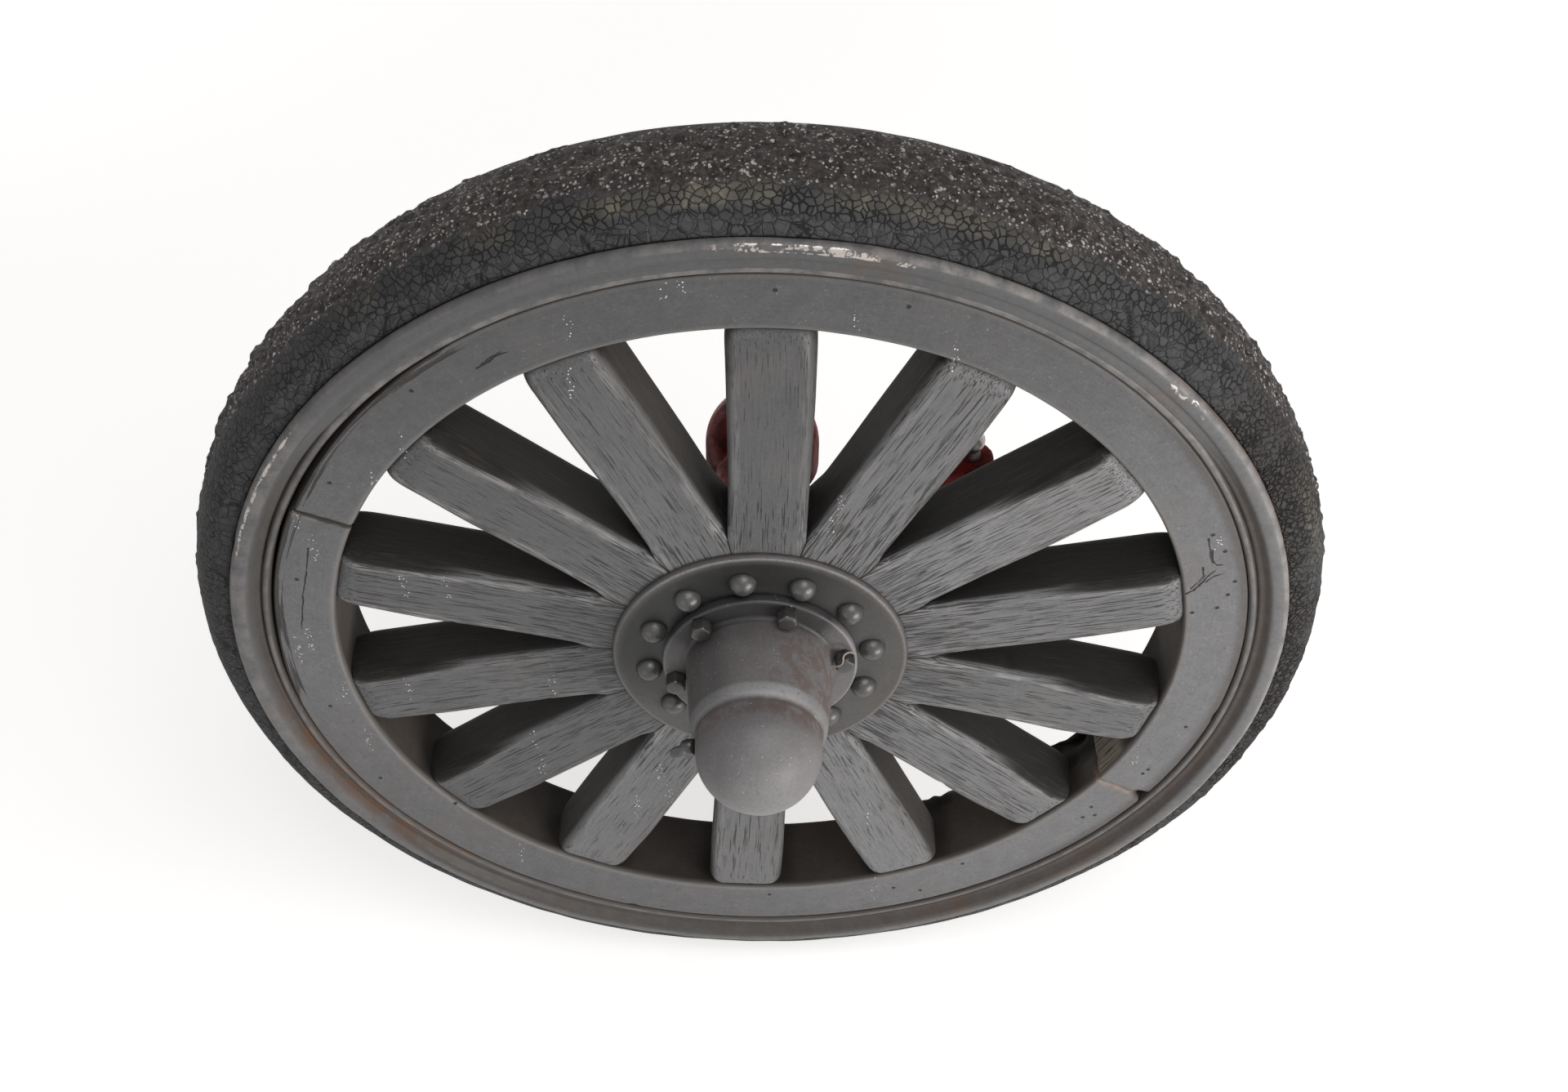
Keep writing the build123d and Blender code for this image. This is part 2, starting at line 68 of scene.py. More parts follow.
# middle, half width and fade of the arc at the top where old paint fills the rim's hollow
PAINTED_OVER = (2, 46, 16)

# colours of grease, stains, wear, cracks, and of painted light and shade, which stay as they are when the
# paint is changed
BLACK, WHITE = (0.0, 0.0, 0.0), (1.0, 1.0, 1.0)
SPLASH_WHITE = (0.85, 0.83, 0.8)
SPECK_WHITE = (0.6, 0.57, 0.5)
DARK_GREASE_AND_SHADE = (0.012, 0.011, 0.01)
HUB_GREASE_AND_SHADE = (0.012, 0.012, 0.012)
OUTER_BAND_BROWN = (0.045, 0.034, 0.028)
BROWN_FELLOE = (0.145, 0.12, 0.105)
BROWN_SPOT = (0.075, 0.06, 0.052)
DARK_STREAK = (0.06, 0.055, 0.052)
PALE_FRECKLE = (0.4, 0.39, 0.38)
RUBBED_FELLOE = (0.3, 0.28, 0.26)
BROKEN_WOOD = (0.3, 0.25, 0.2)
BREAK_LINE = (0.01, 0.008, 0.007)
TORN_WOOD = (0.022, 0.017, 0.013)
PALE_SEAM = (0.3, 0.23, 0.17)
DARK_SEAM = (0.02, 0.015, 0.011)
PAINT_CRACK = (0.012, 0.01, 0.009)
BROWN_SPOKE = (0.14, 0.12, 0.108)
BEVEL_SHADE = (0.06, 0.055, 0.05)
DEEP_SHADE = (0.008, 0.007, 0.006)
RUBBED_SPOKE = (0.33, 0.32, 0.31)
OPEN_GRAIN = (0.014, 0.013, 0.012)
CRUMBLY_RUBBER = (0.05, 0.042, 0.038)
BLEACHED_RUBBER = (0.25, 0.22, 0.165)
RUBBER_CRACK = (0.004, 0.004, 0.004)
PALE_GRIT = (0.78, 0.72, 0.68)
RIM_STAIN_AND_SHADE = (0.056, 0.047, 0.041)
RIM_WEAR_AND_HIGHLIGHT = (0.34, 0.31, 0.29)
BARE_STEEL = (0.5, 0.455, 0.42)
HUB_WEAR_AND_HIGHLIGHT = (0.36, 0.355, 0.36)
RED_GREASE = (0.02, 0.007, 0.005)
RED_CHIP = (0.05, 0.03, 0.025)
MACHINED_STEEL = (0.42, 0.4, 0.38)
STEEL_STAIN = (0.05, 0.035, 0.025)
BOLT_PAINT = (0.06, 0.059, 0.056)
RUSTY_BOLT = (0.045, 0.042, 0.039)
RUSTY_WIRE = (0.32, 0.27, 0.22)
BLACK_PLUG = (0.03, 0.029, 0.027)
FLOOR = (0.8, 0.79, 0.775)
FLOOR_GLOW = (0.66, 0.655, 0.645)
ROOM_LIGHT = (0.08, 0.08, 0.084)


# ---- numbers over a surface


def lattice(cell, seed):
    """A fixed pseudo-random value in 0..1 for each whole-number cell."""
    mixed = cell[:, 0] * 73856093 ^ cell[:, 1] * 19349663 ^ cell[:, 2] * 83492791 ^ seed * 26544357
    mixed = (mixed ^ (mixed >> 13)) * 1274126177
    mixed = mixed ^ (mixed >> 16)
    return (mixed & 65535) / 65535


def bumps(points, size, seed=0):
    """Smooth noise in -1..1 whose bumps are about `size` metres across."""
    spot = points.reshape(-1, 3) / size + 512.5
    base = np.floor(spot).astype(np.int64)
    part = spot - base
    part = part * part * (3 - 2 * part)
    total = np.zeros(len(spot))
    for corner in itertools.product((0, 1), repeat=3):
        weight = np.prod(np.where(corner, part, 1 - part), axis=1)
        total += weight * lattice(base + np.array(corner), seed)
    return (total * 2 - 1).reshape(points.shape[:-1])


def ramp(value, start, end):
    """0 before start, 1 after end, smooth between; start may be the larger."""
    part = np.clip((value - start) / (end - start), 0, 1)
    return part * part * (3 - 2 * part)


def window(value, start, end, soft):
    """1 between start and end, fading over soft on both sides."""
    return ramp(value, start - soft, start) * ramp(value, end + soft, end)


def apart(angle, middle):
    """Degrees between two angles, whichever way round is shorter."""
    return np.abs((angle - middle + 180) % 360 - 180)


def arc_window(angle, middle, half, soft):
    """1 within half degrees of the middle of an arc."""
    return ramp(apart(angle, middle), half + soft, half)


def together(*parts):
    """Points whose coordinates are the given numbers or arrays."""
    return np.stack(np.broadcast_arrays(*parts), axis=-1)


def smooth_path(points, count):
    """Evenly spaced points along a smooth curve through the given ones."""
    points = np.array(points, float)
    padded = np.vstack([2 * points[0] - points[1], points, 2 * points[-1] - points[-2]])
    step = np.linspace(0, 1, 24, endpoint=False)[:, None]
    runs = []
    for before, start, end, after in zip(padded, padded[1:], padded[2:], padded[3:]):
        linear = end - before
        square = 2 * before - 5 * start + 4 * end - after
        cube = 3 * start - before - 3 * end + after
        runs.append(start + 0.5 * (linear * step + square * step**2 + cube * step**3))
    dense = np.vstack([*runs, points[-1:]])
    along = np.append(0, np.cumsum(np.linalg.norm(np.diff(dense, axis=0), axis=1)))
    wanted = np.linspace(0, along[-1], count)
    return np.column_stack([np.interp(wanted, along, dense[:, axis]) for axis in (0, 1)])


def rounded_outline(corners, arc_points=7):
    """A closed outline round right-angled corners, each (x, y, rounding, points along the side after it)."""
    places = np.array([corner[:2] for corner in corners], float)
    ahead = np.roll(places, -1, axis=0) - places
    ahead /= np.linalg.norm(ahead, axis=1, keepdims=True)
    back = -np.roll(ahead, 1, axis=0)
    turn = np.linspace(0, math.pi / 2, arc_points)[:, None]
    arcs = [
        place + rounding * (before + after - after * np.cos(turn) - before * np.sin(turn))
        for place, before, after, (_, _, rounding, _) in zip(places, back, ahead, corners)
    ]
    outline = []
    for index, arc in enumerate(arcs):
        share = np.linspace(0, 1, corners[index][3] + 2)[1:-1, None]
        outline += [arc, arc[-1] * (1 - share) + arcs[(index + 1) % len(arcs)][0] * share]
    return np.vstack(outline)


def outward(outlines):
    """Unit normals, pointing out, of closed outlines given as (..., points, 2)."""
    ahead = np.roll(outlines, -1, axis=-2) - np.roll(outlines, 1, axis=-2)
    normal = np.stack([ahead[..., 1], -ahead[..., 0]], axis=-1)
    normal /= np.linalg.norm(normal, axis=-1, keepdims=True) + 1e-12
    following = np.roll(outlines, -1, axis=-2)
    area = np.sum(outlines[..., 0] * following[..., 1] - following[..., 0] * outlines[..., 1], axis=-1)
    return normal * np.sign(area)[..., None, None]


def on_wheel(radius, y, angle):
    """Points at a radius and an angle in degrees round the wheel's axis."""
    turn = np.radians(angle)
    return together(radius * np.sin(turn), y, radius * np.cos(turn))


def on_spoke(across, y, along, angle):
    """Points in a spoke's own directions: across it, along Y and out from the hub."""
    turn = np.radians(angle)
    x = across * np.cos(turn) + along * np.sin(turn)
    z = along * np.cos(turn) - across * np.sin(turn)
    return together(x, y, z)


# ---- meshes and pieces


def close_up(mesh, gap=1e-7):
    """Merges points that lie on each other and turns every face of the closed mesh outwards."""
    shell = bmesh.new()
    shell.from_mesh(mesh)
    bmesh.ops.remove_doubles(shell, verts=shell.verts, dist=gap)
    bmesh.ops.recalc_face_normals(shell, faces=shell.faces)
    shell.to_mesh(mesh)
    shell.free()


def skin(name, rings, closed, painted=None):
    """A mesh over rings of points, with painted values as attributes; open runs get end faces."""
    rows, columns = rings.shape[:2]
    index = np.arange(rows * columns).reshape(rows, columns)
    first = index if closed else index[:-1]
    second = np.roll(index, -1, axis=0) if closed else index[1:]
    quads = np.stack([first, np.roll(first, -1, 1), np.roll(second, -1, 1), second], axis=-1)
    faces = quads.reshape(-1, 4).tolist()
    if not closed:
        faces += [index[0].tolist(), index[-1].tolist()]
    mesh = bpy.data.meshes.new(name)
    mesh.from_pydata(rings.reshape(-1, 3).tolist(), [], faces)
    for label, values in (painted or {}).items():
        kind, field = ("FLOAT_VECTOR", "vector") if values.shape == rings.shape else ("FLOAT", "value")
        layer = mesh.attributes.new(label, kind, "POINT")
        values = np.broadcast_to(values, rings.shape if kind == "FLOAT_VECTOR" else (rows, columns))
        layer.data.foreach_set(field, np.ascontiguousarray(values, dtype=np.float32).ravel())
    close_up(mesh)
    return add_piece(name, mesh)


def add_piece(name, mesh):
    """Links a smooth-shaded object for the mesh, at the origin."""
    mesh.polygons.foreach_set("use_smooth", np.ones(len(mesh.polygons), dtype=bool))
    piece = bpy.data.objects.new(name, mesh)
    bpy.context.scene.collection.objects.link(piece)
    return piece


def dress(piece, body, slot, finish, *nodes):
    """Gives a finished piece its material and its body, and hides the nodes that it stands for; slot is not
    used.
    """
    piece.data.materials.clear()
    piece.data.materials.append(finish)
    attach(piece, body)
    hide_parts(*nodes)


def turned(name, profile, shape, painted, segments):
    """A closed profile of (radius, y) turned round the wheel's axis and pushed out by shape().

    The y of a profile, and the y given to shape() and painted(), counts inwards from the wheel's face.
    """
    angle = np.linspace(0, 360, segments, endpoint=False)[:, None]
    radius, y = profile[None, :, 0], profile[None, :, 1]
    points = on_wheel(radius, FACE + y, angle)
    push = shape(points, angle, radius, y)
    normal = outward(profile)
    rings = on_wheel(radius + push * normal[:, 0], FACE + y + push * normal[:, 1], angle)
    return skin(name, rings, True, painted(points, angle, radius, y))


def worn_copy(name, nodes, voxel, passes):
    """One closed copy of CAD nodes with its corners worn round, as on a forging."""
    shell = bmesh.new()
    for node in nodes:
        shell.from_mesh(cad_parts[node].data)
    bmesh.ops.remove_doubles(shell, verts=shell.verts, dist=0.01 * MM)
    bmesh.ops.recalc_face_normals(shell, faces=shell.faces)
    mesh = bpy.data.meshes.new(name)
    shell.to_mesh(mesh)
    shell.free()
    draft = add_piece(name + "_draft", mesh)
    remesh = draft.modifiers.new("Even faces", "REMESH")
    remesh.mode = "VOXEL"
    remesh.voxel_size = voxel
    soften = draft.modifiers.new("Worn corners", "SMOOTH")
    soften.factor = 0.5
    soften.iterations = passes
    return bake_object(draft, name)


def bake_object(draft, name):
    """Turns an object with modifiers into a plain piece and removes the draft."""
    seen = draft.evaluated_get(bpy.context.evaluated_depsgraph_get())
    mesh = bpy.data.meshes.new_from_object(seen)
    bpy.data.objects.remove(draft)
    mesh.name = name
    return add_piece(name, mesh)


# ---- shader maths


class Value:
    """One output of a node; arithmetic on it adds Math nodes."""

    def __init__(self, nodes, socket):
        self.nodes = nodes
        self.socket = socket

    def math(self, operation, *others):
        return self.nodes.math(operation, self, *others)

    def __add__(self, other):
        return self.math("ADD", other)

    __radd__ = __add__

    def __sub__(self, other):
        return self.math("SUBTRACT", other)

    def __rsub__(self, other):
        return self.nodes.math("SUBTRACT", other, self)

    def __mul__(self, other):
        return self.math("MULTIPLY", other)

    __rmul__ = __mul__

    def above(self, other):
        return self.math("MAXIMUM", other)

    def below(self, other):
        return self.math("MINIMUM", other)

    def step(self, start, end):
        """0 at start, 1 at end, smooth between and held outside."""
        settings = {"interpolation_type": "SMOOTHSTEP"}
        if start <= end:
            return self.nodes.node("ShaderNodeMapRange", settings, {0: self, 1: start, 2: end})
        return self.nodes.node("ShaderNodeMapRange", settings, {0: self, 1: end, 2: start, 3: 1.0, 4: 0.0})


class Nodes:
    """A node tree of a material, a world or a modifier, and the one way to add to it."""

    def __init__(self, tree):
        self.tree = tree
        self.tree.nodes.clear()

    def node(self, kind, settings=None, inputs=None, output=0):
        """One node: first its settings, then the values or links of its sockets."""
        made = self.tree.nodes.new(kind)
        for key, value in (settings or {}).items():
            setattr(made, key, value)
        for key, value in (inputs or {}).items():
            if isinstance(value, Value):
                self.tree.links.new(value.socket, made.inputs[key])
            else:
                made.inputs[key].default_value = value
        return Value(self, made.outputs[output]) if made.outputs else None

    def math(self, operation, *values):
        return self.node("ShaderNodeMath", {"operation": operation}, dict(enumerate(values)))

    def blend(self, share, first, second):
        """The first colour, turning into the second as share goes from 0 to 1."""
        first = first if isinstance(first, Value) else (*first, 1.0)
        second = second if isinstance(second, Value) else (*second, 1.0)
        return self.node("ShaderNodeMix", {"data_type": "RGBA"}, {0: share, 6: first, 7: second}, 2)

    def seen_directly(self):
        """1 for rays from the camera and for what gloss and glass show, 0 for light that falls on things."""
        camera, glossy, through = (
            self.node("ShaderNodeLightPath", output=f"Is {kind} Ray")
            for kind in ("Camera", "Glossy", "Transmission")
        )
        return camera.above(glossy).above(through)


class Finish(Nodes):
    """A material, with the textures that its colours are made of."""

    def __init__(self, name):
        self.material = bpy.data.materials.new(name)
        self.material.use_nodes = True
        super().__init__(self.material.node_tree)
        self.place = self.node("ShaderNodeTexCoord", output="Object")

    def painted(self, name, output="Fac"):
        return self.node("ShaderNodeAttribute", {"attribute_name": name}, output=output)

    def fields(self, *names):
        return [self.painted(name) for name in names]

    def layer(self, share, colour):
        """Lays a colour over the coat, thicker as share goes from 0 to 1."""
        self.coat = self.blend(share, self.coat, colour)

    def vector(self, operation, *inputs, output=0):
        return self.node("ShaderNodeVectorMath", {"operation": operation}, dict(enumerate(inputs)), output)

    def stretched(self, place, x, y, z):
        return self.vector("MULTIPLY", place, (x, y, z))

    def noise(self, scale, detail=3.0, roughness=0.55, place=None):
        inputs = {"Vector": place or self.place, "Scale": scale, "Detail": detail, "Roughness": roughness}
        return self.node("ShaderNodeTexNoise", inputs=inputs)

    def wobbled(self, place, scale, amount):
        """The place, moved about by noise."""
        inputs = {"Vector": place, "Scale": scale, "Detail": 2.0}
        shift = self.node("ShaderNodeTexNoise", inputs=inputs, output=1)
        centred = self.vector("SUBTRACT", shift, (0.5, 0.5, 0.5))
        return self.vector("MULTIPLY_ADD", centred, (amount, amount, amount), place)

    def cells(self, place, scale, feature="F1", output="Distance"):
        inputs = {"Vector": place, "Scale": scale}
        return self.node("ShaderNodeTexVoronoi", {"feature": feature}, inputs, output)

    def shade(self, colour, amount):
        """The colour made lighter or darker by a value round 1."""
        colour = colour if isinstance(colour, Value) else (*colour, 1.0)
        grey = self.node("ShaderNodeCombineColor", inputs={0: amount, 1: amount, 2: amount})
        settings = {"data_type": "RGBA", "blend_type": "MULTIPLY"}
        return self.node("ShaderNodeMix", settings, {0: 1.0, 6: colour, 7: grey}, 2)

    def bump(self, height, depth):
        return self.node("ShaderNodeBump", inputs={"Height": height, "Distance": depth, "Strength": 1.0})

    def crack(self, flat, start, end, width):
        """1 along the line between two points, 0 further than width from it."""
        start, end = Vector(start), Vector(end)
        run = end - start
        reach = self.vector("SUBTRACT", flat, start)
        share = self.vector("DOT_PRODUCT", reach, run / run.length_squared, output="Value")
        share = share.above(0.0).below(1.0)
        foot = self.node("ShaderNodeVectorMath", {"operation": "SCALE"}, {0: tuple(run), "Scale": share})
        gap = self.vector("SUBTRACT", reach, foot)
        away = self.vector("LENGTH", gap, output="Value")
        thin = 1 - share * 0.5
        return (away * thin.math("POWER", -1.0)).step(width, width * 0.35)

    def done(self, **inputs):
        """Ends the material with its surface."""
        surface = self.node("ShaderNodeBsdfPrincipled", inputs={
            key.replace("_", " "): value if isinstance(value, (Value, float)) else (*value, 1.0)
            for key, value in inputs.items()
        })
        self.node("ShaderNodeOutputMaterial", inputs={"Surface": surface})
        return self.material


# ---- marks of age on the wheel

PINHOLES = (
    (375, 1.3), (375, 15.4), (370.5, 67.8), (375.7, 71.1), (379, 76.6), (373, 78.8), (364.5, 81), (345, 81.5),
    (373.7, 318.5), (370, 300.3), (369.7, 282.6), (366, 258), (373, 242), (342, 231.7), (350.5, 178.4),
    (368, 115.7), (369, 114.6), (360, 125.5), (364.6, 128), (370.6, 126.6), (351, 148), (373, 156.3),
    (360, 159.7), (371, 104.7),
)
SPLASHES = (
    (-67, 374), (-133, 346), (-54, 385), (-134, 288), (-260, 223), (-286, 192), (-351, 147), (-342, 115),
    (-362, 7), (-373, -4), (-278, 75), (-245, 76), (-343, -60), (-332, -121), (-216, -284), (-290, -49),
    (-170, -44), (-191, -116), (-187, -152), (-107, -211), (-86, -161), (-79, -192), (96, -221), (108, -339),
    (322, -138), (65, 339), (135, 313), (53, 150), (60, 171), (350, 130),
)
# runs of (radius, angle), each with its half width
FELLOE_CRACKS = (
    (((365, 288.5), (363, 284.2), (364, 279.6), (365, 276.5), (367, 273.4)), 0.9),
    (((366.6, 68.3), (365.4, 70.2), (364.3, 72.2)), 1.0),
    (((365.4, 70.6), (364.6, 72.6)), 2.0),
    (((364.3, 72.2), (367.5, 73.2), (371.5, 73.4)), 1.2),
    (((356.5, 73.2), (355.8, 75.2)), 1.1),
    (((339.7, 77.8), (346.5, 77.1), (351.4, 76.4), (356, 75.6)), 1.5),
    (((351.4, 76.4), (360, 74.8), (366.5, 74.0)), 1.1),
    (((357, 75.9), (364, 75.1), (371, 74.9)), 0.9),
    (((345, 76.7), (352.5, 75.5), (358, 74.6)), 0.8),
    (((361.6, 326.5), (361.4, 328.2), (364, 329.4), (363.2, 331)), 1.0),
    (((361.9, 327.4), (363.9, 329.4)), 1.7),
    (((362.8, 327.2), (364.9, 328.8), (365.2, 330.2)), 0.8),
)
GRAIN_STRENGTH = (0.25, 0.9, 1.0, 0.9, 0.85, 0.9, 0.45, 0.6, 0.5, 0.5, 0.8, 0.8, 0.6, 0.35)
# how much the paint is worn along each spoke's front edges, and how pale each spoke is drawn: its paint's own
# tone together with painted light and shade for how brightly it is lit
SPOKE_EDGES = (0.3, 0.4, 0.5, 0.5, 0.9, 0.8, 0.3, 0.3, 0.3, 0.15, 0.3, 1.0, 1.0, 0.6)
SPOKE_TONE_AND_LIGHT = (0.86, 1.18, 1.36, 1.06, 0.88, 1.14, 1.28, 1.1, 1.15, 0.7, 0.88, 0.95, 0.97, 1.12)
# degrees that each spoke's outer end leans from its even place, as in the part's source
SPOKE_LEANS = (-0.9, -0.3, -0.3, -0.3, 0.3, 0.3, 0.3, 0.2, -0.2, -0.5, -0.8, -0.9, -0.8, -1.2)


def splashed(points):
    """1 inside the small upright patches of paint dots on the outboard side."""
    mask = np.zeros(points.shape[:-1])
    for x, z in SPLASHES:
        away = np.hypot((points[..., 0] / MM - x) / 2.6, (points[..., 2] / MM - z) / 17)
        mask = np.maximum(mask, ramp(away, 1.5, 0.4))
    return mask * ramp(points[..., 1], FACE + 30 * MM, FACE + 22 * MM)


def dots(finish, place, size, share, soft):
    """Round dots, one in some of the cells of a fixed size; share is how many cells have one."""
    near = finish.cells(place, 1 / size)
    drawn = finish.cells(place, 1 / size, output="Color")
    return near.step(soft, soft * 0.6) * drawn.step(share, share - 0.02)


def paint_dots(finish):
    """White paint dots inside the splashed patches."""
    patch = finish.painted("splashed")
    flat = finish.stretched(finish.place, 1, 0, 1)
    return dots(finish, flat, size=2.3 * MM, share=0.42, soft=0.34) * patch.step(0.15, 0.5)


def painted_top_shade(finish, lean=-0.45):
    """1 over the top and front of the wheel, tilted sideways by lean, where shade is painted in by darkening
    the paint.
    """
    reach = finish.vector("DOT_PRODUCT", finish.place, (lean, 0.0, 1.0), output="Value")
    return reach.step(0.03, 0.36)


def pinholes(finish, flat):
    """Black where an old nail or worm hole is."""
    nearest = None
    for radius, angle in PINHOLES:
        hole = tuple(on_wheel(radius * MM, 0, angle))
        away = finish.vector("DISTANCE", flat, hole, output="Value")
        nearest = away if nearest is None else nearest.below(away)
    return nearest.step(1.9 * MM, 1.2 * MM)


# ---- finishes


def felloe_finish(colours):
    finish = Finish("Painted felloe")
    place = finish.place
    flat = finish.stretched(place, 1, 0, 1)
    front, worn, filler, seam, pale_seam, grease_and_shade, frayed, darker_outer_band, beige = finish.fields(
        "front", "worn", "filler", "seam", "pale_seam", "grease_and_shade", "frayed", "darker_outer_band", "beige"
    )
    grain = finish.painted("grain", "Vector")
    broad = finish.noise(9, 4)
    patch = finish.noise(70, 4, 0.65)
    fine = finish.noise(320, 4, 0.7)
    streak = finish.noise(1.6, 4, 0.6, grain)
    speck = finish.noise(900, 2, 0.6)
    # painted shade: darker towards the bottom left, a little on the face and more on the inner faces
    low_left_shade = finish.vector("DOT_PRODUCT", place, (-0.6, 0.0, -1.0), output="Value").step(0.24, 0.42)
    tone = broad * 0.3 + patch * 0.45 + fine * 0.65 + speck * 0.4 + streak * 0.35
    # painted shade: the paint's tone is darker over the top of the wheel
    shade_from_above = painted_top_shade(finish, -0.1)
    finish.coat = finish.shade(colours.paint, tone * (1 - shade_from_above * 0.42) * (1 - low_left_shade * 0.16))
    finish.layer(broad.step(0.5, 0.72) * 0.4, BROWN_FELLOE)
    finish.layer(streak.step(0.6, 0.8) * 0.3, DARK_STREAK)
    freckle = finish.noise(420, 2).step(0.66, 0.72) * patch.step(0.4, 0.6)
    finish.layer(freckle * 0.35, PALE_FRECKLE)
    spots = finish.noise(170, 3, 0.6).step(0.6, 0.7)
    finish.layer(spots * 0.35, BROWN_SPOT)
    # the inner faces in the brown of bare wood, kept dark and darker at the bottom left: partly painted shade
    side = finish.shade(colours.bare_wood, (broad * 0.7 + patch * 0.6 + fine * 0.4) * (1 - low_left_shade * 0.4))
    finish.layer((1 - front) * 0.95, side)
    finish.layer(worn * 0.3, RUBBED_FELLOE)
    finish.layer(darker_outer_band * (0.35 + patch * 0.7), OUTER_BAND_BROWN)
    finish.layer(beige * 0.85, finish.shade(BROKEN_WOOD, 0.2 + patch * 0.9 + fine * 0.7))
    split = (beige * 0.5 + streak * 1.8 - 1.45).step(0.0, 0.12) * beige
    finish.layer(split, BREAK_LINE)
    finish.layer(filler * finish.noise(90, 3).step(0.35, 0.6) * 0.85, colours.filler)
    strands = finish.noise(0.75, 3, 0.6, grain)
    torn = (frayed * 0.85 + strands * 2.4 - 1.85).step(0.0, 0.16)
    finish.layer(torn * 0.85, TORN_WOOD)
    finish.layer(pale_seam * patch.step(0.4, 0.6) * 0.6, PALE_SEAM)
    finish.layer(seam * 0.9, DARK_SEAM)
    # grease and rot, and painted shade round the spokes' feet
    finish.layer(grease_and_shade * 0.93, DARK_GREASE_AND_SHADE)
    shaky = finish.wobbled(flat, 160, 2.2 * MM)
    lines = pinholes(finish, flat)
    for line, width in FELLOE_CRACKS:
        spots = [tuple(on_wheel(radius * MM, 0, angle)) for radius, angle in line]
        for start, end in zip(spots, spots[1:]):
            lines = lines.above(finish.crack(shaky, start, end, width * MM))
    lines = lines * front
    finish.layer(lines * 0.92, PAINT_CRACK)
    white = paint_dots(finish) * front
    finish.layer(white, SPLASH_WHITE)
    height = fine * 0.4 + broad * 0.6 + patch * 0.4 - lines * 1.6 - streak.step(0.55, 0.8) * 0.4 - torn * 0.8
    return finish.done(
        Base_Color=finish.coat,
        Roughness=0.42 + broad * 0.2 + grease_and_shade * 0.2 + (1 - front) * 0.35,
        Specular_IOR_Level=0.3,
        Normal=finish.bump(height, 0.9 * MM),
    )


def spoke_finish(colours):
    finish = Finish("Painted spoke")
    grain = finish.painted("grain", "Vector")
    strength, pale, flank, shaded, bevel_shade, worn, grease_and_shade, foot = finish.fields(
        "strength", "pale", "flank", "shaded", "bevel_shade", "worn", "grease_and_shade", "foot"
    )
    broad = finish.noise(14, 4)
    fine = finish.noise(320, 4, 0.7)
    fibres = finish.noise(820, 3, 0.6, finish.stretched(grain, 1, 1, 0.04))
    dashes = finish.noise(1050, 2, 0.5, finish.stretched(grain, 1, 1, 0.032))
    splits = finish.noise(420, 2, 0.45, finish.stretched(grain, 1, 1, 0.022))
    open_grain = (dashes + strength * 0.09 + foot * 0.07 + broad * 0.08).step(0.7, 0.76)
    open_grain = open_grain.above((splits + strength * 0.07 + foot * 0.03).step(0.745, 0.775))
    speck = finish.noise(900, 2, 0.6)
    # painted shade: the spokes' tone is darker over the top left of the wheel
    tone = (broad * 0.55 + fine * 0.5 + fibres * 0.6 + speck * 0.3) * (1 - painted_top_shade(finish) * 0.3)
    # pale holds each spoke's own tone together with painted light and shade
    finish.coat = finish.shade(colours.paint, tone * pale)
    finish.layer(broad.step(0.52, 0.75) * 0.3, BROWN_SPOKE)
    side = finish.shade(colours.bare_wood, broad * 0.7 + fibres * 0.5 + fine * 0.3)
    finish.layer(flank * 0.9, side)
    # painted shade on the rounded front edges of the spokes' lower sides
    finish.layer(bevel_shade * 0.4, BEVEL_SHADE)
    finish.layer(shaded * (0.92 - fibres.step(0.46, 0.7) * 0.35), DEEP_SHADE)
    rubbed = worn * fibres.step(0.36, 0.6) * finish.noise(40, 3).step(0.3, 0.55)
    finish.layer(rubbed * 0.8, RUBBED_SPOKE)
    # grease in the seams and at the ends, and painted shade down the sides near the hub
    finish.layer(grease_and_shade * 0.85, DARK_GREASE_AND_SHADE)
    finish.layer(open_grain * 0.78, OPEN_GRAIN)
    white = paint_dots(finish) * (1 - flank)
    finish.layer(white, SPLASH_WHITE)
    height = fibres * (0.15 + strength * 0.35) + fine * 0.15 + broad * 0.4 - open_grain * 0.8 + white * 0.3
    return finish.done(
        Base_Color=finish.coat,
        Roughness=0.4 + broad * 0.2 + flank * 0.35,
        Specular_IOR_Level=0.3,
        Normal=finish.bump(height, 0.8 * MM),
    )


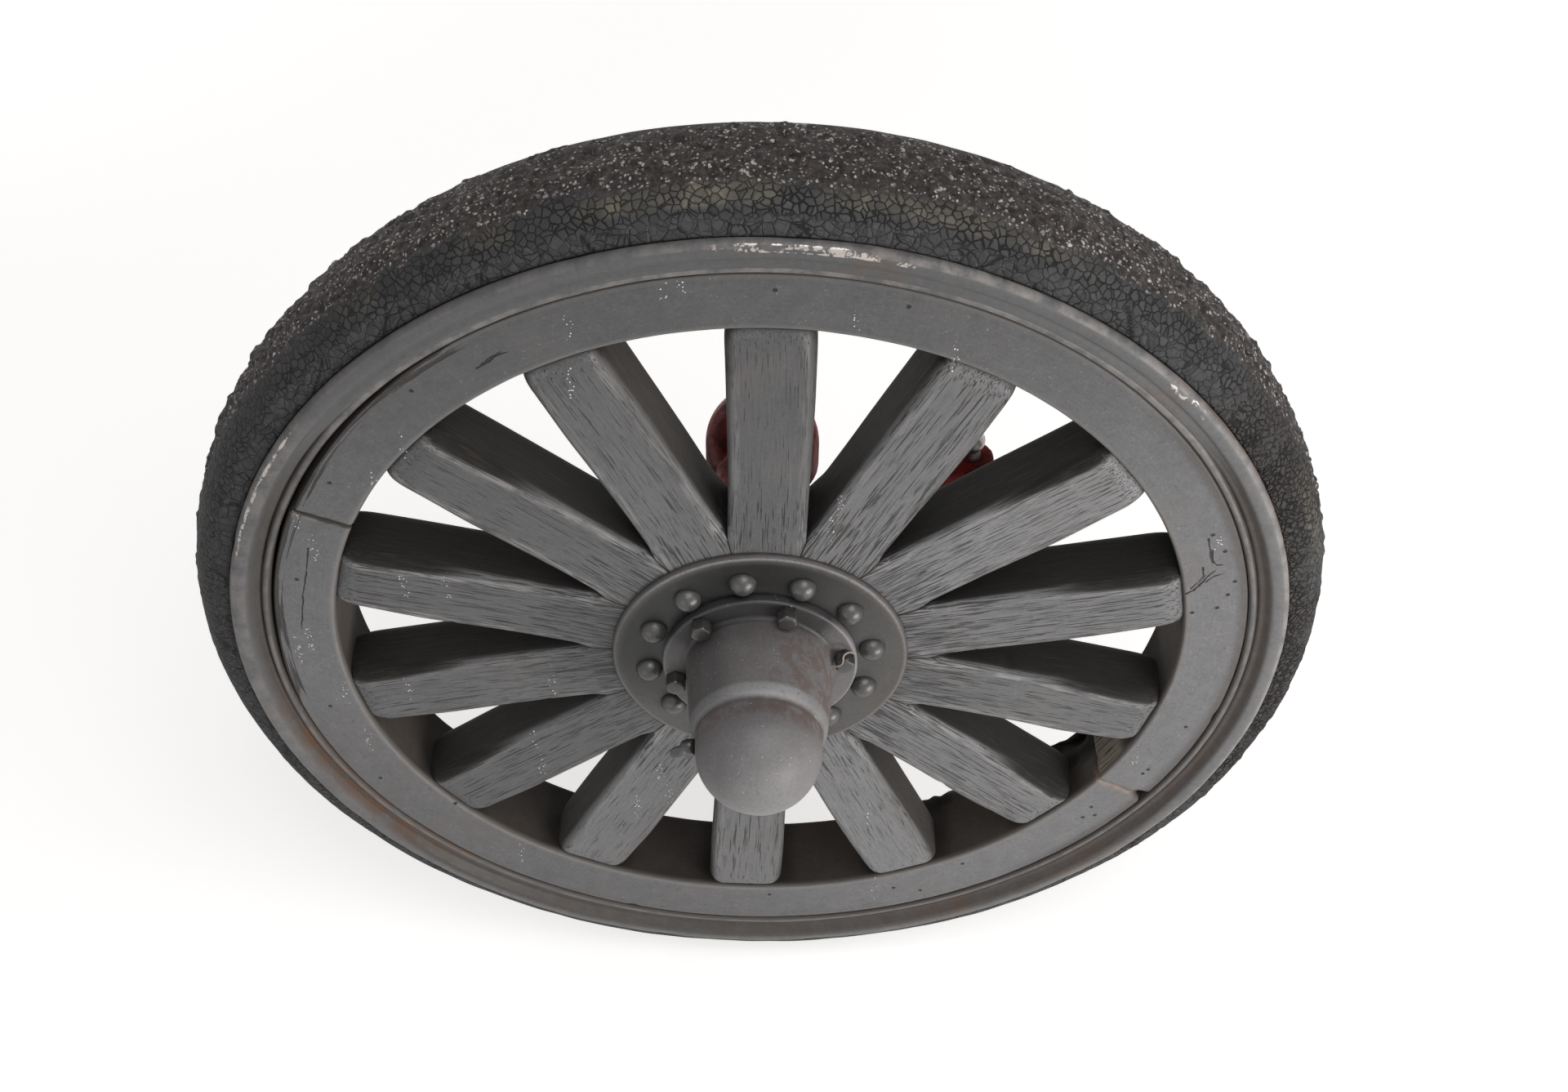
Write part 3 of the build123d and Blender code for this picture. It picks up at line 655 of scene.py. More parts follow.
def rubber_finish(colours, crack_size):
    finish = Finish("Cracked rubber")
    place = finish.place
    tread, bleached, near_lip, cracks_and_gap_shade, crumbly = finish.fields(
        "tread", "bleached", "near_lip", "cracks_and_gap_shade", "crumbly"
    )
    shaky = finish.wobbled(finish.wobbled(place, 60, 5 * MM), 260, 1.6 * MM)
    broad = finish.noise(16, 4)
    fine = finish.noise(420, 3)
    small = finish.cells(shaky, 1 / crack_size, "DISTANCE_TO_EDGE")
    large = finish.cells(shaky, 0.62 / crack_size, "DISTANCE_TO_EDGE")
    tiny = finish.cells(shaky, 1.1 / crack_size, "DISTANCE_TO_EDGE")
    small = small * (1 - crumbly) + tiny * crumbly
    tone = finish.cells(shaky, 1 / crack_size, output="Color")
    thickness = 0.015 + finish.noise(45, 3).step(0.4, 0.75) * 0.07 + crumbly * 0.025
    plain = near_lip * (1 - crumbly)
    crack = (small - thickness * (1 - plain * 0.7)).step(0.06, 0.0) * (1 - plain * 0.45)
    crack = crack.above((large - thickness * 0.6).step(0.025, 0.0) * near_lip)
    # the cracks also carry the painted shade of the gap at the rim's lip
    crack = crack.above(cracks_and_gap_shade)
    flat_side = 1 - tread
    finish.coat = finish.shade(colours.rubber, 0.2 + broad * 0.5 + tone * 0.9 + fine * 0.8)
    rough = finish.shade(CRUMBLY_RUBBER, broad * 0.6 + tone * 0.4 + fine * 1.2)
    finish.layer(crumbly * 0.7, rough)
    pale = bleached * (0.35 + tone * 0.8)
    finish.layer(pale * 0.9, finish.shade(BLEACHED_RUBBER, 0.35 + fine * 1.2))
    finish.layer(crack * flat_side * 0.95, RUBBER_CRACK)
    crumbs = finish.noise(190, 4, 0.75)
    lumps = finish.cells(finish.wobbled(place, 120, 4 * MM), 210)
    ground = finish.shade(colours.tread, 0.15 + crumbs.step(0.3, 0.75) * 1.9)
    finish.layer(tread, ground)
    grit = dots(finish, finish.wobbled(place, 300, 1.8 * MM), size=3.2 * MM, share=0.62, soft=0.4)
    chips = dots(finish, finish.wobbled(place, 160, 3.5 * MM), size=6.5 * MM, share=0.5, soft=0.34)
    gathered = broad.step(0.2, 0.45) * finish.noise(75, 3).step(0.32, 0.5)
    pale_grit = grit.above(chips) * tread.step(0.2, 0.7) * gathered
    finish.layer(pale_grit * 0.85, finish.shade(PALE_GRIT, fine.step(0.3, 0.7) * 1.2 + 0.12))
    plates = small.below(0.16) * 3.6 * (1 - plain) + large.below(0.14) * 2.4 * plain
    relief = (plates + tone * 0.5) * flat_side - cracks_and_gap_shade * 1.2 + fine * 0.25
    relief = relief + (small.below(0.35) * 2.5 + fine * 0.8) * crumbly
    relief = relief + (crumbs * 2.2 - lumps * 0.9 + pale_grit * 0.4) * tread
    return finish.done(
        Base_Color=finish.coat,
        Roughness=0.62 + fine * 0.24,
        Specular_IOR_Level=0.25,
        Normal=finish.bump(relief, 1.6 * MM),
    )


def rim_finish(colours):
    finish = Finish("Painted rim")
    place = finish.place
    rust, stain, scraped, worn = finish.fields("rust", "stain", "scraped", "worn")
    broad = finish.noise(12, 4)
    fine = finish.noise(280, 4, 0.7)
    patch = finish.noise(55, 5, 0.65)
    tone = 0.4 + broad * 0.3 + patch * 0.2 + fine * 0.7
    # painted shade: the rim's tone is darker over the top left of the wheel
    finish.coat = finish.shade(colours.iron, tone * (1 - painted_top_shade(finish) * 0.3))
    # stain and painted shade: darker in the rim's hollow
    finish.layer(stain * (0.55 + patch * 0.7), finish.shade(RIM_STAIN_AND_SHADE, 0.6 + fine * 0.8))
    rusty = (rust * 1.3 * patch.step(0.28, 0.62)).below(1.0)
    rust_tone = finish.shade(colours.rust, 0.25 + patch * 1.0)
    finish.layer(rusty * 0.85, rust_tone)
    # wear and painted highlight: lighter along the lip's crest, the lip's front and the band's top
    finish.layer(worn * patch.step(0.35, 0.65) * 0.6, RIM_WEAR_AND_HIGHLIGHT)
    bright = (scraped * fine.step(0.36, 0.56)).step(0.35, 0.6)
    finish.layer(bright * 0.85, BARE_STEEL)
    pits = finish.cells(place, 160).step(0.16, 0.05) * patch.step(0.5, 0.7)
    height = fine * 0.25 + broad * 0.8 + rusty * 0.4 - pits * 0.8
    return finish.done(
        Base_Color=finish.coat,
        Metallic=bright * 0.6,
        Roughness=0.46 + rusty * 0.35 + broad * 0.1 - bright * 0.1,
        Specular_IOR_Level=0.35,
        Normal=finish.bump(height, 0.6 * MM),
    )


def hub_finish(colours, name, tone, specks):
    finish = Finish(name)
    place = finish.place
    rust, worn, grease_and_shade = finish.fields("rust", "worn", "grease_and_shade")
    broad = finish.noise(26, 4)
    fine = finish.noise(420, 4, 0.6)
    patch = finish.noise(75, 5, 0.65)
    finish.coat = finish.shade(tone, 0.25 + broad * 0.45 + patch * 0.4 + fine * 0.6)
    rusty = (rust * patch.step(0.36, 0.62)).below(1.0)
    rust_tone = finish.shade(colours.stain, 0.55 + patch * 0.9)
    finish.layer(rusty * 0.8, rust_tone)
    # worn carries wear and painted highlights on the plate's edge and the cap's shoulder, brim and lower dome
    finish.layer(worn * fine.step(0.2, 0.5) * 0.7, HUB_WEAR_AND_HIGHLIGHT)
    # grease, with painted shade over the plate's top left and the cap's top and left
    finish.layer(grease_and_shade * 0.85, HUB_GREASE_AND_SHADE)
    white = dots(finish, place, size=3.4 * MM, share=specks, soft=0.16)
    finish.layer(white * 0.8, SPECK_WHITE)
    height = fine * 0.3 + broad * 0.7 + patch * 0.3
    return finish.done(
        Base_Color=finish.coat,
        Roughness=0.42 + rusty * 0.3 + broad * 0.1 - grease_and_shade * 0.08,
        Specular_IOR_Level=0.35,
        Normal=finish.bump(height, 0.45 * MM),
    )


def bolt_finish(colours, name, tone, rusty_share):
    finish = Finish(name)
    place = finish.place
    broad = finish.noise(40, 3)
    fine = finish.noise(500, 4, 0.6)
    patch = finish.noise(150, 4, 0.65)
    finish.coat = finish.shade(tone, 0.6 + broad * 0.5 + fine * 0.25)
    rusty = patch.step(0.64 - rusty_share * 0.3, 0.76 - rusty_share * 0.3)
    finish.layer(rusty * 0.6, colours.stain)
    white = dots(finish, place, size=3 * MM, share=0.2, soft=0.16)
    finish.layer(white * 0.7, SPECK_WHITE)
    return finish.done(
        Base_Color=finish.coat,
        Roughness=0.3 + rusty * 0.3,
        Specular_IOR_Level=0.6,
        Normal=finish.bump(fine * 0.4 + patch * 0.6, 0.5 * MM),
    )


def red_finish(colours):
    finish = Finish("Red axle paint")
    broad = finish.noise(11, 4)
    fine = finish.noise(350, 3)
    patch = finish.noise(45, 5, 0.65)
    finish.coat = finish.shade(colours.red, 0.6 + broad * 0.6 + fine * 0.15)
    grease = (patch + broad * 0.5).step(0.62, 0.95)
    finish.layer(grease * 0.85, RED_GREASE)
    chips = finish.noise(190, 4, 0.7).step(0.68, 0.72)
    finish.layer(chips * 0.8, RED_CHIP)
    height = broad * 0.5 + fine * 0.2 - chips * 0.4 + grease * 0.6
    return finish.done(
        Base_Color=finish.coat,
        Roughness=0.45 + grease * 0.3 + fine * 0.1,
        Specular_IOR_Level=0.12,
        Normal=finish.bump(height, 0.6 * MM),
    )


def bright_steel_finish():
    finish = Finish("Machined steel")
    fine = finish.noise(600, 3)
    broad = finish.noise(60, 4)
    finish.coat = finish.shade(MACHINED_STEEL, 0.6 + broad * 0.5)
    finish.layer(broad.step(0.55, 0.7) * 0.6, STEEL_STAIN)
    return finish.done(
        Base_Color=finish.coat,
        Metallic=1.0 - broad.step(0.55, 0.7) * 0.5,
        Roughness=0.3 + fine * 0.2,
        Normal=finish.bump(fine, 0.15 * MM),
    )


# ---- sizes and colours a user would change


def length(name, description, default, largest):
    return FloatProperty(
        name=name, description=description, default=default, min=0.0, max=largest, unit="LENGTH", precision=4
    )


def colour(name, description, default):
    return FloatVectorProperty(
        name=name, description=description, default=default, size=3, min=0.0, max=1.0, subtype="COLOR"
    )


class OldWheelSizes(bpy.types.PropertyGroup):
    crumble: length("Tread crumble", "How deep the worn tread is broken up", 0.0036, 0.01)
    crack_cell: length("Rubber plates", "Width of the plates between the tyre's cracks", 0.0058, 0.05)
    wave: length("Paint waviness", "How far the old paint and iron swell and dip", 0.0003, 0.002)
    joint_gap: length("Felloe joint", "Gap where the two halves of the felloe meet", 0.0016, 0.01)
    forging_round: IntProperty(
        name="Forging wear", description="How many smoothing passes wear the knuckle's corners",
        default=9, min=0, max=60,
    )
    wire: length("Locking wire", "Thickness of the wire round one cap bolt", 0.0016, 0.005)


class OldWheelColours(bpy.types.PropertyGroup):
    paint: colour("Wheel paint", "Blue-grey paint on the wood", (0.158, 0.157, 0.16))
    bare_wood: colour("Worn wood", "Brown of the wood's inner faces", (0.055, 0.043, 0.034))
    filler: colour("Filler", "Putty in the broken joint", (0.33, 0.215, 0.15))
    iron: colour("Painted iron", "Paint on the rim and the band", (0.14, 0.139, 0.14))
    cap: colour("Hub cap", "Brown-grey of the hub's cap", (0.195, 0.187, 0.187))
    plate: colour("Hub plate", "Paint on the hub's plate and its bolts", (0.083, 0.08, 0.077))
    rust: colour("Rust", "Dry rust", (0.17, 0.085, 0.045))
    rubber: colour("Tyre side", "Perished rubber", (0.04, 0.04, 0.0415))
    tread: colour("Tyre tread", "Crumbled rubber of the tread", (0.055, 0.047, 0.044))
    stain: colour("Brown stain", "Thin rust that shows through the hub's paint", (0.105, 0.07, 0.058))
    # the knuckle's red is darker than the paint's own, as painted shade for the shadow it sits in
    red: colour("Axle paint", "Red paint on the steering knuckle", (0.2, 0.012, 0.01))


def sizes():
    return bpy.context.scene.old_wheel_sizes


def colours():
    return bpy.context.scene.old_wheel_colours


def ripple(points, size, seed):
    """Slow waviness as deep as the sheet's own setting."""
    return bumps(points, size, seed) * sizes().wave


# ---- tyre and rim


# deep cracks across the tyre's side: angle, from and to radius, degrees of lean for each 10 mm
TYRE_CREASES = (
    (344.6, 0.4205, 0.4335, -0.5), (311.5, 0.421, 0.434, 2.6), (322, 0.4215, 0.431, 1.2),
    (334, 0.4215, 0.4285, -0.8), (20, 0.4215, 0.433, 1.0), (37, 0.4215, 0.4365, -1.6),
    (58, 0.421, 0.432, 0.8), (76, 0.4215, 0.435, -1.0), (101, 0.4215, 0.431, 0.9),
    (138, 0.4215, 0.434, 1.3), (186, 0.421, 0.433, -1.1), (223, 0.4215, 0.4345, 0.9),
    (252, 0.421, 0.4325, -1.4), (281, 0.4215, 0.434, 0.7),
)
# bleached patches high on the tyre's side: middle angle, half the angle, strength
BLEACHED = ((354.5, 5, 1.5), (346, 1.5, 0.4), (335, 2, 0.4), (321, 2, 0.4), (18, 9, 0.5), (71, 4.5, 1.2))


class OLDWHEEL_OT_tyre(bpy.types.Operator):
    """Build the solid rubber tyre, cracked at its side and crumbled at its tread"""

    bl_idname = "oldwheel.tyre"
    bl_label = "Solid tyre"

    def execute(self, context):
        lip, side, back = 0.420, 0.012, RIM_BACK
        outer = smooth_path(
            (
                (lip - 0.0012, side - 0.0036), (0.4225, side - 0.0042), (0.4295, side - 0.003),
                (0.4382, side + 0.0012), (0.446, side + 0.0115), (0.4513, side + 0.024),
                (0.4538, side + 0.038), (0.4533, back - 0.044), (0.4518, back - 0.031),
                (0.4498, back - 0.019), (0.4448, back - 0.008), (0.4368, back + 0.004),
                (0.4268, back + 0.002), (lip, back - 0.0004),
            ),
            70,
        )
        channel = np.array([
            (0.415, back), (0.408, back - 0.002), (CHANNEL, back - 0.008), (CHANNEL, side + 0.008),
            (0.408, side + 0.002), (0.415, side),
        ])
        profile = np.vstack([outer, channel])

        def tread(points, angle, radius, y):
            ragged = bumps(points, 0.022, 3) * 0.006 + bumps(points, 0.009, 4) * 0.003
            later = 0.011 * np.sin(np.radians(angle)) ** 4
            over = ramp(y + ragged - later, 0.024, 0.036)
            return over * ramp(radius, 0.436, 0.441) * ramp(y, back + 0.001, back - 0.012)

        def crumbly(points, angle, y):
            broken = ramp(bumps(points, 0.03, 15), -0.7, 0.1)
            arcs = arc_window(angle, 92, 34, 14) + 0.35 * arc_window(angle, 262, 26, 14)
            return arcs * broken * ramp(y, back, 0.07)

        def shape(points, angle, radius, y):
            free = ramp(radius, lip + 0.001, lip + 0.008)
            worn = np.maximum(tread(points, angle, radius, y), crumbly(points, angle, y) * 0.4)
            crumbs = bumps(points, 0.0075, 5) + 1.1 * bumps(points, 0.0042, 6)
            crumbs = crumbs + 0.5 * bumps(points, 0.018, 7) - 0.4
            swell = bumps(points, 0.08, 8) * 0.0006 + bumps(points, 0.02, 9) * 0.0003
            flat_spot = -0.0012 * arc_window(angle, 178, 7, 3) * worn
            return free * (swell + worn * crumbs * sizes().crumble * 0.5 + flat_spot)

        def painted(points, angle, radius, y):
            patches = sum(
                share * arc_window(angle, middle, half, half * 0.8) for middle, half, share in BLEACHED
            )
            high_side = window(radius, 0.4425, 0.4515, 0.004) * ramp(y, 0.034, 0.026)
            broken = 0.35 + 0.65 * ramp(bumps(points, 0.03, 11) + 0.5 * bumps(points, 0.012, 12), -0.35, 0.5)
            crease = np.zeros_like(points[..., 0])
            for middle, start, end, lean in TYRE_CREASES:
                wander = lean * (radius - start) / 0.01 + 0.25 * bumps(points, 0.012, 13)
                away = np.radians(apart(angle, middle + wander)) * radius
                crease = np.maximum(crease, ramp(away, 0.0026, 0.0008) * window(radius, start, end, 0.002))
            # painted shade: a dark line where the tyre meets the rim's lip
            lip_gap_shade = ramp(radius, lip + 0.0009, lip - 0.0002)
            return {
                "tread": tread(points, angle, radius, y),
                "bleached": np.clip(patches, 0, 1) * high_side * broken,
                "near_lip": ramp(radius + 0.002 * bumps(points, 0.02, 14), 0.4365, 0.4315),
                "cracks_and_gap_shade": np.maximum(crease, lip_gap_shade) * ramp(y, 0.06, 0.04),
                "crumbly": crumbly(points, angle, y),
            }

        piece = turned("solid_tyre", profile, shape, painted, segments=1120)
        dress(piece, "wheel", "tyre", rubber_finish(colours(), sizes().crack_cell), "tyre")
        return {"FINISHED"}


class OLDWHEEL_OT_rim(bpy.types.Operator):
    """Build the steel rim that holds the tyre and the iron band round the felloe"""

    bl_idname = "oldwheel.rim"
    bl_label = "Rim and band"

    def execute(self, context):
        lip = smooth_path(
            (
                (0.3965, 0.0095), (0.3986, 0.0079), (0.4014, 0.0072), (0.4042, 0.0044),
                (0.407, 0.0014), (0.411, 0.0003), (0.4155, 0.0003), (0.4187, 0.0022),
                (0.42, 0.006), (0.4188, 0.0092), (0.4155, 0.0116),
            ),
            56,
        )
        back = RIM_BACK
        far_lip = smooth_path(
            (
                (0.4155, back + 0.0004), (0.4185, back + 0.0025), (0.4192, back + 0.0052),
                (0.416, back + 0.008), (0.4075, back + 0.008), (0.401, back + 0.0052), (0.3965, back + 0.003),
            ),
            16,
        )
        channel = np.array([
            (0.408, 0.014), (CHANNEL, 0.02), (CHANNEL, 0.045), (CHANNEL, 0.075),
            (CHANNEL, back - 0.008), (0.408, back - 0.002),
        ])
        inside = np.array([(0.3965, back - 0.02), (0.3965, 0.06), (0.3965, 0.03)])
        profile = np.vstack([lip, channel, far_lip, inside])

        def shape(points, angle, radius, y):
            dents = -0.0007 * ramp(bumps(points, 0.035, 22), 0.35, 0.9) * ramp(radius, 0.41, 0.416)
            filled = arc_window(angle, *PAINTED_OVER) * ramp(radius, 0.405, 0.402) * ramp(y, 0.013, 0.01)
            return ripple(points, 0.05, 21) + dents + bumps(points, 0.012, 23) * 0.0001 + 0.0038 * filled

        def painted(points, angle, radius, y):
            front_side = ramp(y, 0.02, 0.012)
            over = arc_window(angle, *PAINTED_OVER)
            # stain and painted shade, darker in the rim's hollow on the right, at the bottom and on the left
            hollow = ramp(radius, 0.4085, 0.4035) * arc_window(angle, 98, 34, 22)
            hollow = hollow + 1.4 * ramp(radius, 0.4135, 0.407) * arc_window(angle, 176, 44, 22)
            left = (0.9 * arc_window(angle, 256, 34, 18) + 0.1) * (1 - over)
            hollow = hollow + ramp(radius, 0.409, 0.401) * left
            orange = 0.6 * window(radius, 0.397, 0.4, 0.0018) + 0.35 * window(radius, 0.4005, 0.4055, 0.003)
            orange = orange * arc_window(angle, 243, 11, 12)
            orange = orange + 0.1 * window(radius, 0.399, 0.405, 0.002) * arc_window(angle, 92, 20, 14)
            back_side = ramp(y, 0.03, 0.06)
            freckles = 0.22 * ramp(bumps(points, 0.05, 24), 0.3, 0.8)
            front_lip = window(radius, 0.4085, 0.4205, 0.002) * ramp(y, 0.014, 0.009)
            along = together(radius, points[..., 1], np.radians(angle) * 0.06)
            flaked = ramp(bumps(along, 0.0022, 25) + 0.6 * bumps(points, 0.006, 26), -0.7, 0.4)
            top = arc_window(angle, 5, 7, 6) * window(radius, 0.4135, 0.418, 0.0016)
            front = arc_window(angle, 296, 8, 4) * window(radius, 0.4153, 0.417, 0.0007)
            few = arc_window(angle, 47, 3, 2) * window(radius, 0.412, 0.418, 0.001) * 0.7
            crest = window(radius, 0.4165, 0.4205, 0.0015) * ramp(y, 0.012, 0.007)
            edge_rust = window(radius, 0.4194, 0.4204, 0.0004) * arc_window(angle, 92, 40, 14) * 0.8
            # wear and painted highlight on the crest, strongest on the right, and on the lip's front at the
            # left
            worn = crest * (0.3 + 0.5 * arc_window(angle, 75, 55, 16) + 0.3 * arc_window(angle, 8, 14, 10))
            worn = worn + (0.15 + 0.3 * arc_window(angle, 282, 22, 16)) * front_lip * (1 - over)
            return {
                "rust": np.clip(orange + edge_rust + freckles + back_side * 0.6, 0, 1),
                "stain": np.clip(hollow * front_side, 0, 1),
                "scraped": (top + front + few) * front_lip * flaked,
                "worn": np.clip(worn, 0, 1),
            }

        piece = turned("steel_rim", profile, shape, painted, segments=640)
        finish = rim_finish(colours())
        dress(piece, "wheel", "rim", finish, "rim")

        inner, outer = 0.3892, 0.3964
        crest = smooth_path(
            (
                (inner, 0.012), (inner + 0.0006, 0.0078), (inner + 0.0028, 0.0058),
                (outer - 0.0024, 0.006), (outer - 0.0004, 0.0082), (outer, 0.012),
            ),
            18,
        )
        band_back = np.array([
            (outer, 0.04), (outer, 0.0825), (outer - 0.0015, 0.084),
            (inner + 0.0015, 0.084), (inner, 0.0825), (inner, 0.04),
        ])

        def band_shape(points, angle, radius, y):
            flush = arc_window(angle, *PAINTED_OVER) * ramp(radius, outer - 0.004, outer - 0.001)
            wave = ripple(points, 0.05, 21) + bumps(points, 0.012, 23) * 0.0001
            return wave + 0.0022 * flush * ramp(y, 0.0135, 0.0105)

        def band_painted(points, angle, radius, y):
            top = ramp(y, 0.014, 0.01)
            over = arc_window(angle, *PAINTED_OVER)
            # dirt and painted shade in the gaps along the band's inner and outer edges
            inner_line = ramp(radius, inner + 0.0024, inner + 0.0011)
            outer_line = ramp(radius, outer - 0.0022, outer - 0.001) * (1 - over)
            gap_dirt_and_shade = top * np.maximum(inner_line, outer_line)
            return {
                "rust": ramp(y, 0.03, 0.06) * 0.7 + 0.25 * top * arc_window(angle, 238, 14, 12),
                "stain": np.clip(gap_dirt_and_shade * 1.4 + 0.3 * top * (1 - over), 0, 1),
                "scraped": np.zeros_like(gap_dirt_and_shade),
                # painted light: the band's top is lightened, more where it is painted over
                "worn": top * (1 - gap_dirt_and_shade) * (0.4 + 0.35 * over),
            }

        band = turned("felloe_iron", np.vstack([crest, band_back]), band_shape, band_painted, segments=640)
        dress(band, "wheel", "rim", finish, "felloe_band")
        return {"FINISHED"}


# ---- felloe

JOINT_BACK, JOINT_FRONT = 119.8, 294.1


class OLDWHEEL_OT_felloe(bpy.types.Operator):
    """Build the two bent halves of the wooden felloe, with their open joint and the rotted end"""

    bl_idname = "oldwheel.felloe"
    bl_label = "Felloe halves"

    def execute(self, context):
        finish = felloe_finish(colours())
        inner, outer, front, back = 0.339, 0.389, 0.008, 0.082
        section = rounded_outline((
            (outer, front, 0.0022, 24), (inner, front, 0.004, 26),
            (inner, back, 0.004, 10), (outer, back, 0.0025, 4),
        ))
        for name, node, start, end in (
            ("felloe_half_lower", "felloe_lower", JOINT_BACK, JOINT_FRONT),
            ("felloe_half_upper", "felloe_upper", JOINT_FRONT - 360, JOINT_BACK),
        ):
            half_gap = math.degrees(sizes().joint_gap / 2 / outer)
            lower = name == "felloe_half_lower"
            angle = np.unique(np.concatenate([
                np.linspace(start + half_gap, end - half_gap, 460),
                start + half_gap + np.linspace(0, 4, 14) ** 2 / 4,
                end - half_gap - np.linspace(0, 4, 14) ** 2 / 4,
            ]))[:, None]
            radius, y = section[None, :, 0], section[None, :, 1]
            points = on_wheel(radius, FACE + y, angle)
            near_end = np.radians(np.minimum(angle - start, end - angle)) * radius
            at_back = ramp(apart(angle, JOINT_BACK), 8, 5)
            face = window(radius, inner + 0.002, outer - 0.0015, 0.0015)
            face = face * ramp(y, front + 0.004, front + 0.001)
            inside = ramp(radius, inner + 0.006, inner + 0.002)
            chipped = ramp(bumps(points, 0.006, 31) + bumps(points, 0.014, 32), 0.0, 1.0)
            chamfer = ramp(near_end, 0.004, 0) * (0.0009 + 0.0018 * chipped * at_back)
            rot_arc = np.radians((angle - JOINT_BACK + 360) % 360) * inner
            rot = ramp(rot_arc, 0.062, 0.034) * lower
            rot_depth = rot * inside * ramp(y, front + 0.022, front + 0.045)
            hollow = rot_depth * (0.007 + 0.004 * bumps(points, 0.012, 33))
            ragged = window(angle % 360, 148, 158, 1.5) * ramp(y, back - 0.02, back - 0.004) * inside
            lumps = ragged * np.clip(bumps(points, 0.007, 34) + 0.3, 0, 1) * 0.004
            outer_edge = window(radius, outer - 0.004, outer, 0.002) * ramp(y, front + 0.006, front)
            edge_chips = -0.0012 * ramp(bumps(points, 0.018, 35), 0.55, 0.9) * outer_edge
            in_front = ramp(y, front + 0.02, front)
            wedge = at_back * ramp(radius, 0.373, 0.387) * ramp(near_end, 0.009, 0.001) * in_front
            push = ripple(points, 0.045, 36) + bumps(points, 0.012, 37) * 0.00012
            push = push - chamfer - hollow + lumps + edge_chips - wedge * 0.004
            normal = outward(section)
            depth, arc = (0.0022, (284, 9, 16)) if lower else (0.0042, (301, 4, 22))
            shrunk = depth * arc_window(angle, *arc) * ramp(radius, outer - 0.007, outer - 0.001)
            shrunk = shrunk * ramp(y, front + 0.03, front + 0.012)
            rings = on_wheel(radius - shrunk + push * normal[:, 0], FACE + y + push * normal[:, 1], angle)
            at_front = ramp(apart(angle, JOINT_FRONT), 8, 5)
            jagged = near_end + 0.0014 * bumps(points, 0.0055, 38)
            filler = 0.75 * lower * at_back * ramp(near_end, 0.007, 0.002) * in_front
            edge = ramp(radius, outer - 0.017, outer - 0.004) * ramp(y, front + 0.012, front + 0.004)
            frayed = edge * (0.85 * arc_window(angle, 310, 14, 6) + arc_window(angle, 276, 13, 6) + 0.12)
            # darker brown towards the felloe's outer edge, most on the right
            darker_outer_band = ramp(radius, outer - 0.012, outer - 0.001) * (0.75 * arc_window(angle, 95, 38, 14) + 0.15)
            spread = np.abs((angle - 2 + 180 / 14) % (360 / 14) - 180 / 14)
            # painted shade round each spoke's foot on the felloe's inner face, laid in with the grease
            foot = ramp(np.radians(spread) * inner, 0.052, 0.034) * ramp(radius, inner + 0.006, inner + 0.002)
            grease_and_shade = np.clip(rot_depth * 1.4 + wedge * 1.2 + ragged * 0.2, 0, 1)
            worn = window(radius, inner, inner + 0.003, 0.002) * ramp(y, front + 0.006, front + 0.002)
            worn = worn + 0.5 * window(radius, outer - 0.003, outer, 0.002) * ramp(y, front + 0.004, front)
            beige = (not lower) * inside * at_back * ramp(near_end, 0.05, 0.036)
            painted = {
                "front": face,
                "worn": np.clip(worn + ragged, 0, 1),
                "filler": filler * (1 - wedge),
                "seam": at_front * ramp(jagged, 0.0027, 0.0016),
                "pale_seam": lower * at_front * window(jagged, 0.0029, 0.0036, 0.0005),
                "frayed": np.clip(frayed, 0, 1),
                "darker_outer_band": np.clip(darker_outer_band * face, 0, 1),
                "beige": beige * ramp(y, front + 0.003, front + 0.007),
                "grease_and_shade": np.clip(grease_and_shade + 0.6 * foot * ramp(y, front + 0.003, front + 0.008), 0, 1),
                "splashed": splashed(points),
                "grain": together(radius * 420, points[..., 1] * 420, np.radians(angle) * radius * 16),
            }
            piece = skin(name, rings, False, painted)
            dress(piece, "wheel", "felloe", finish, node)
        return {"FINISHED"}


# ---- spokes


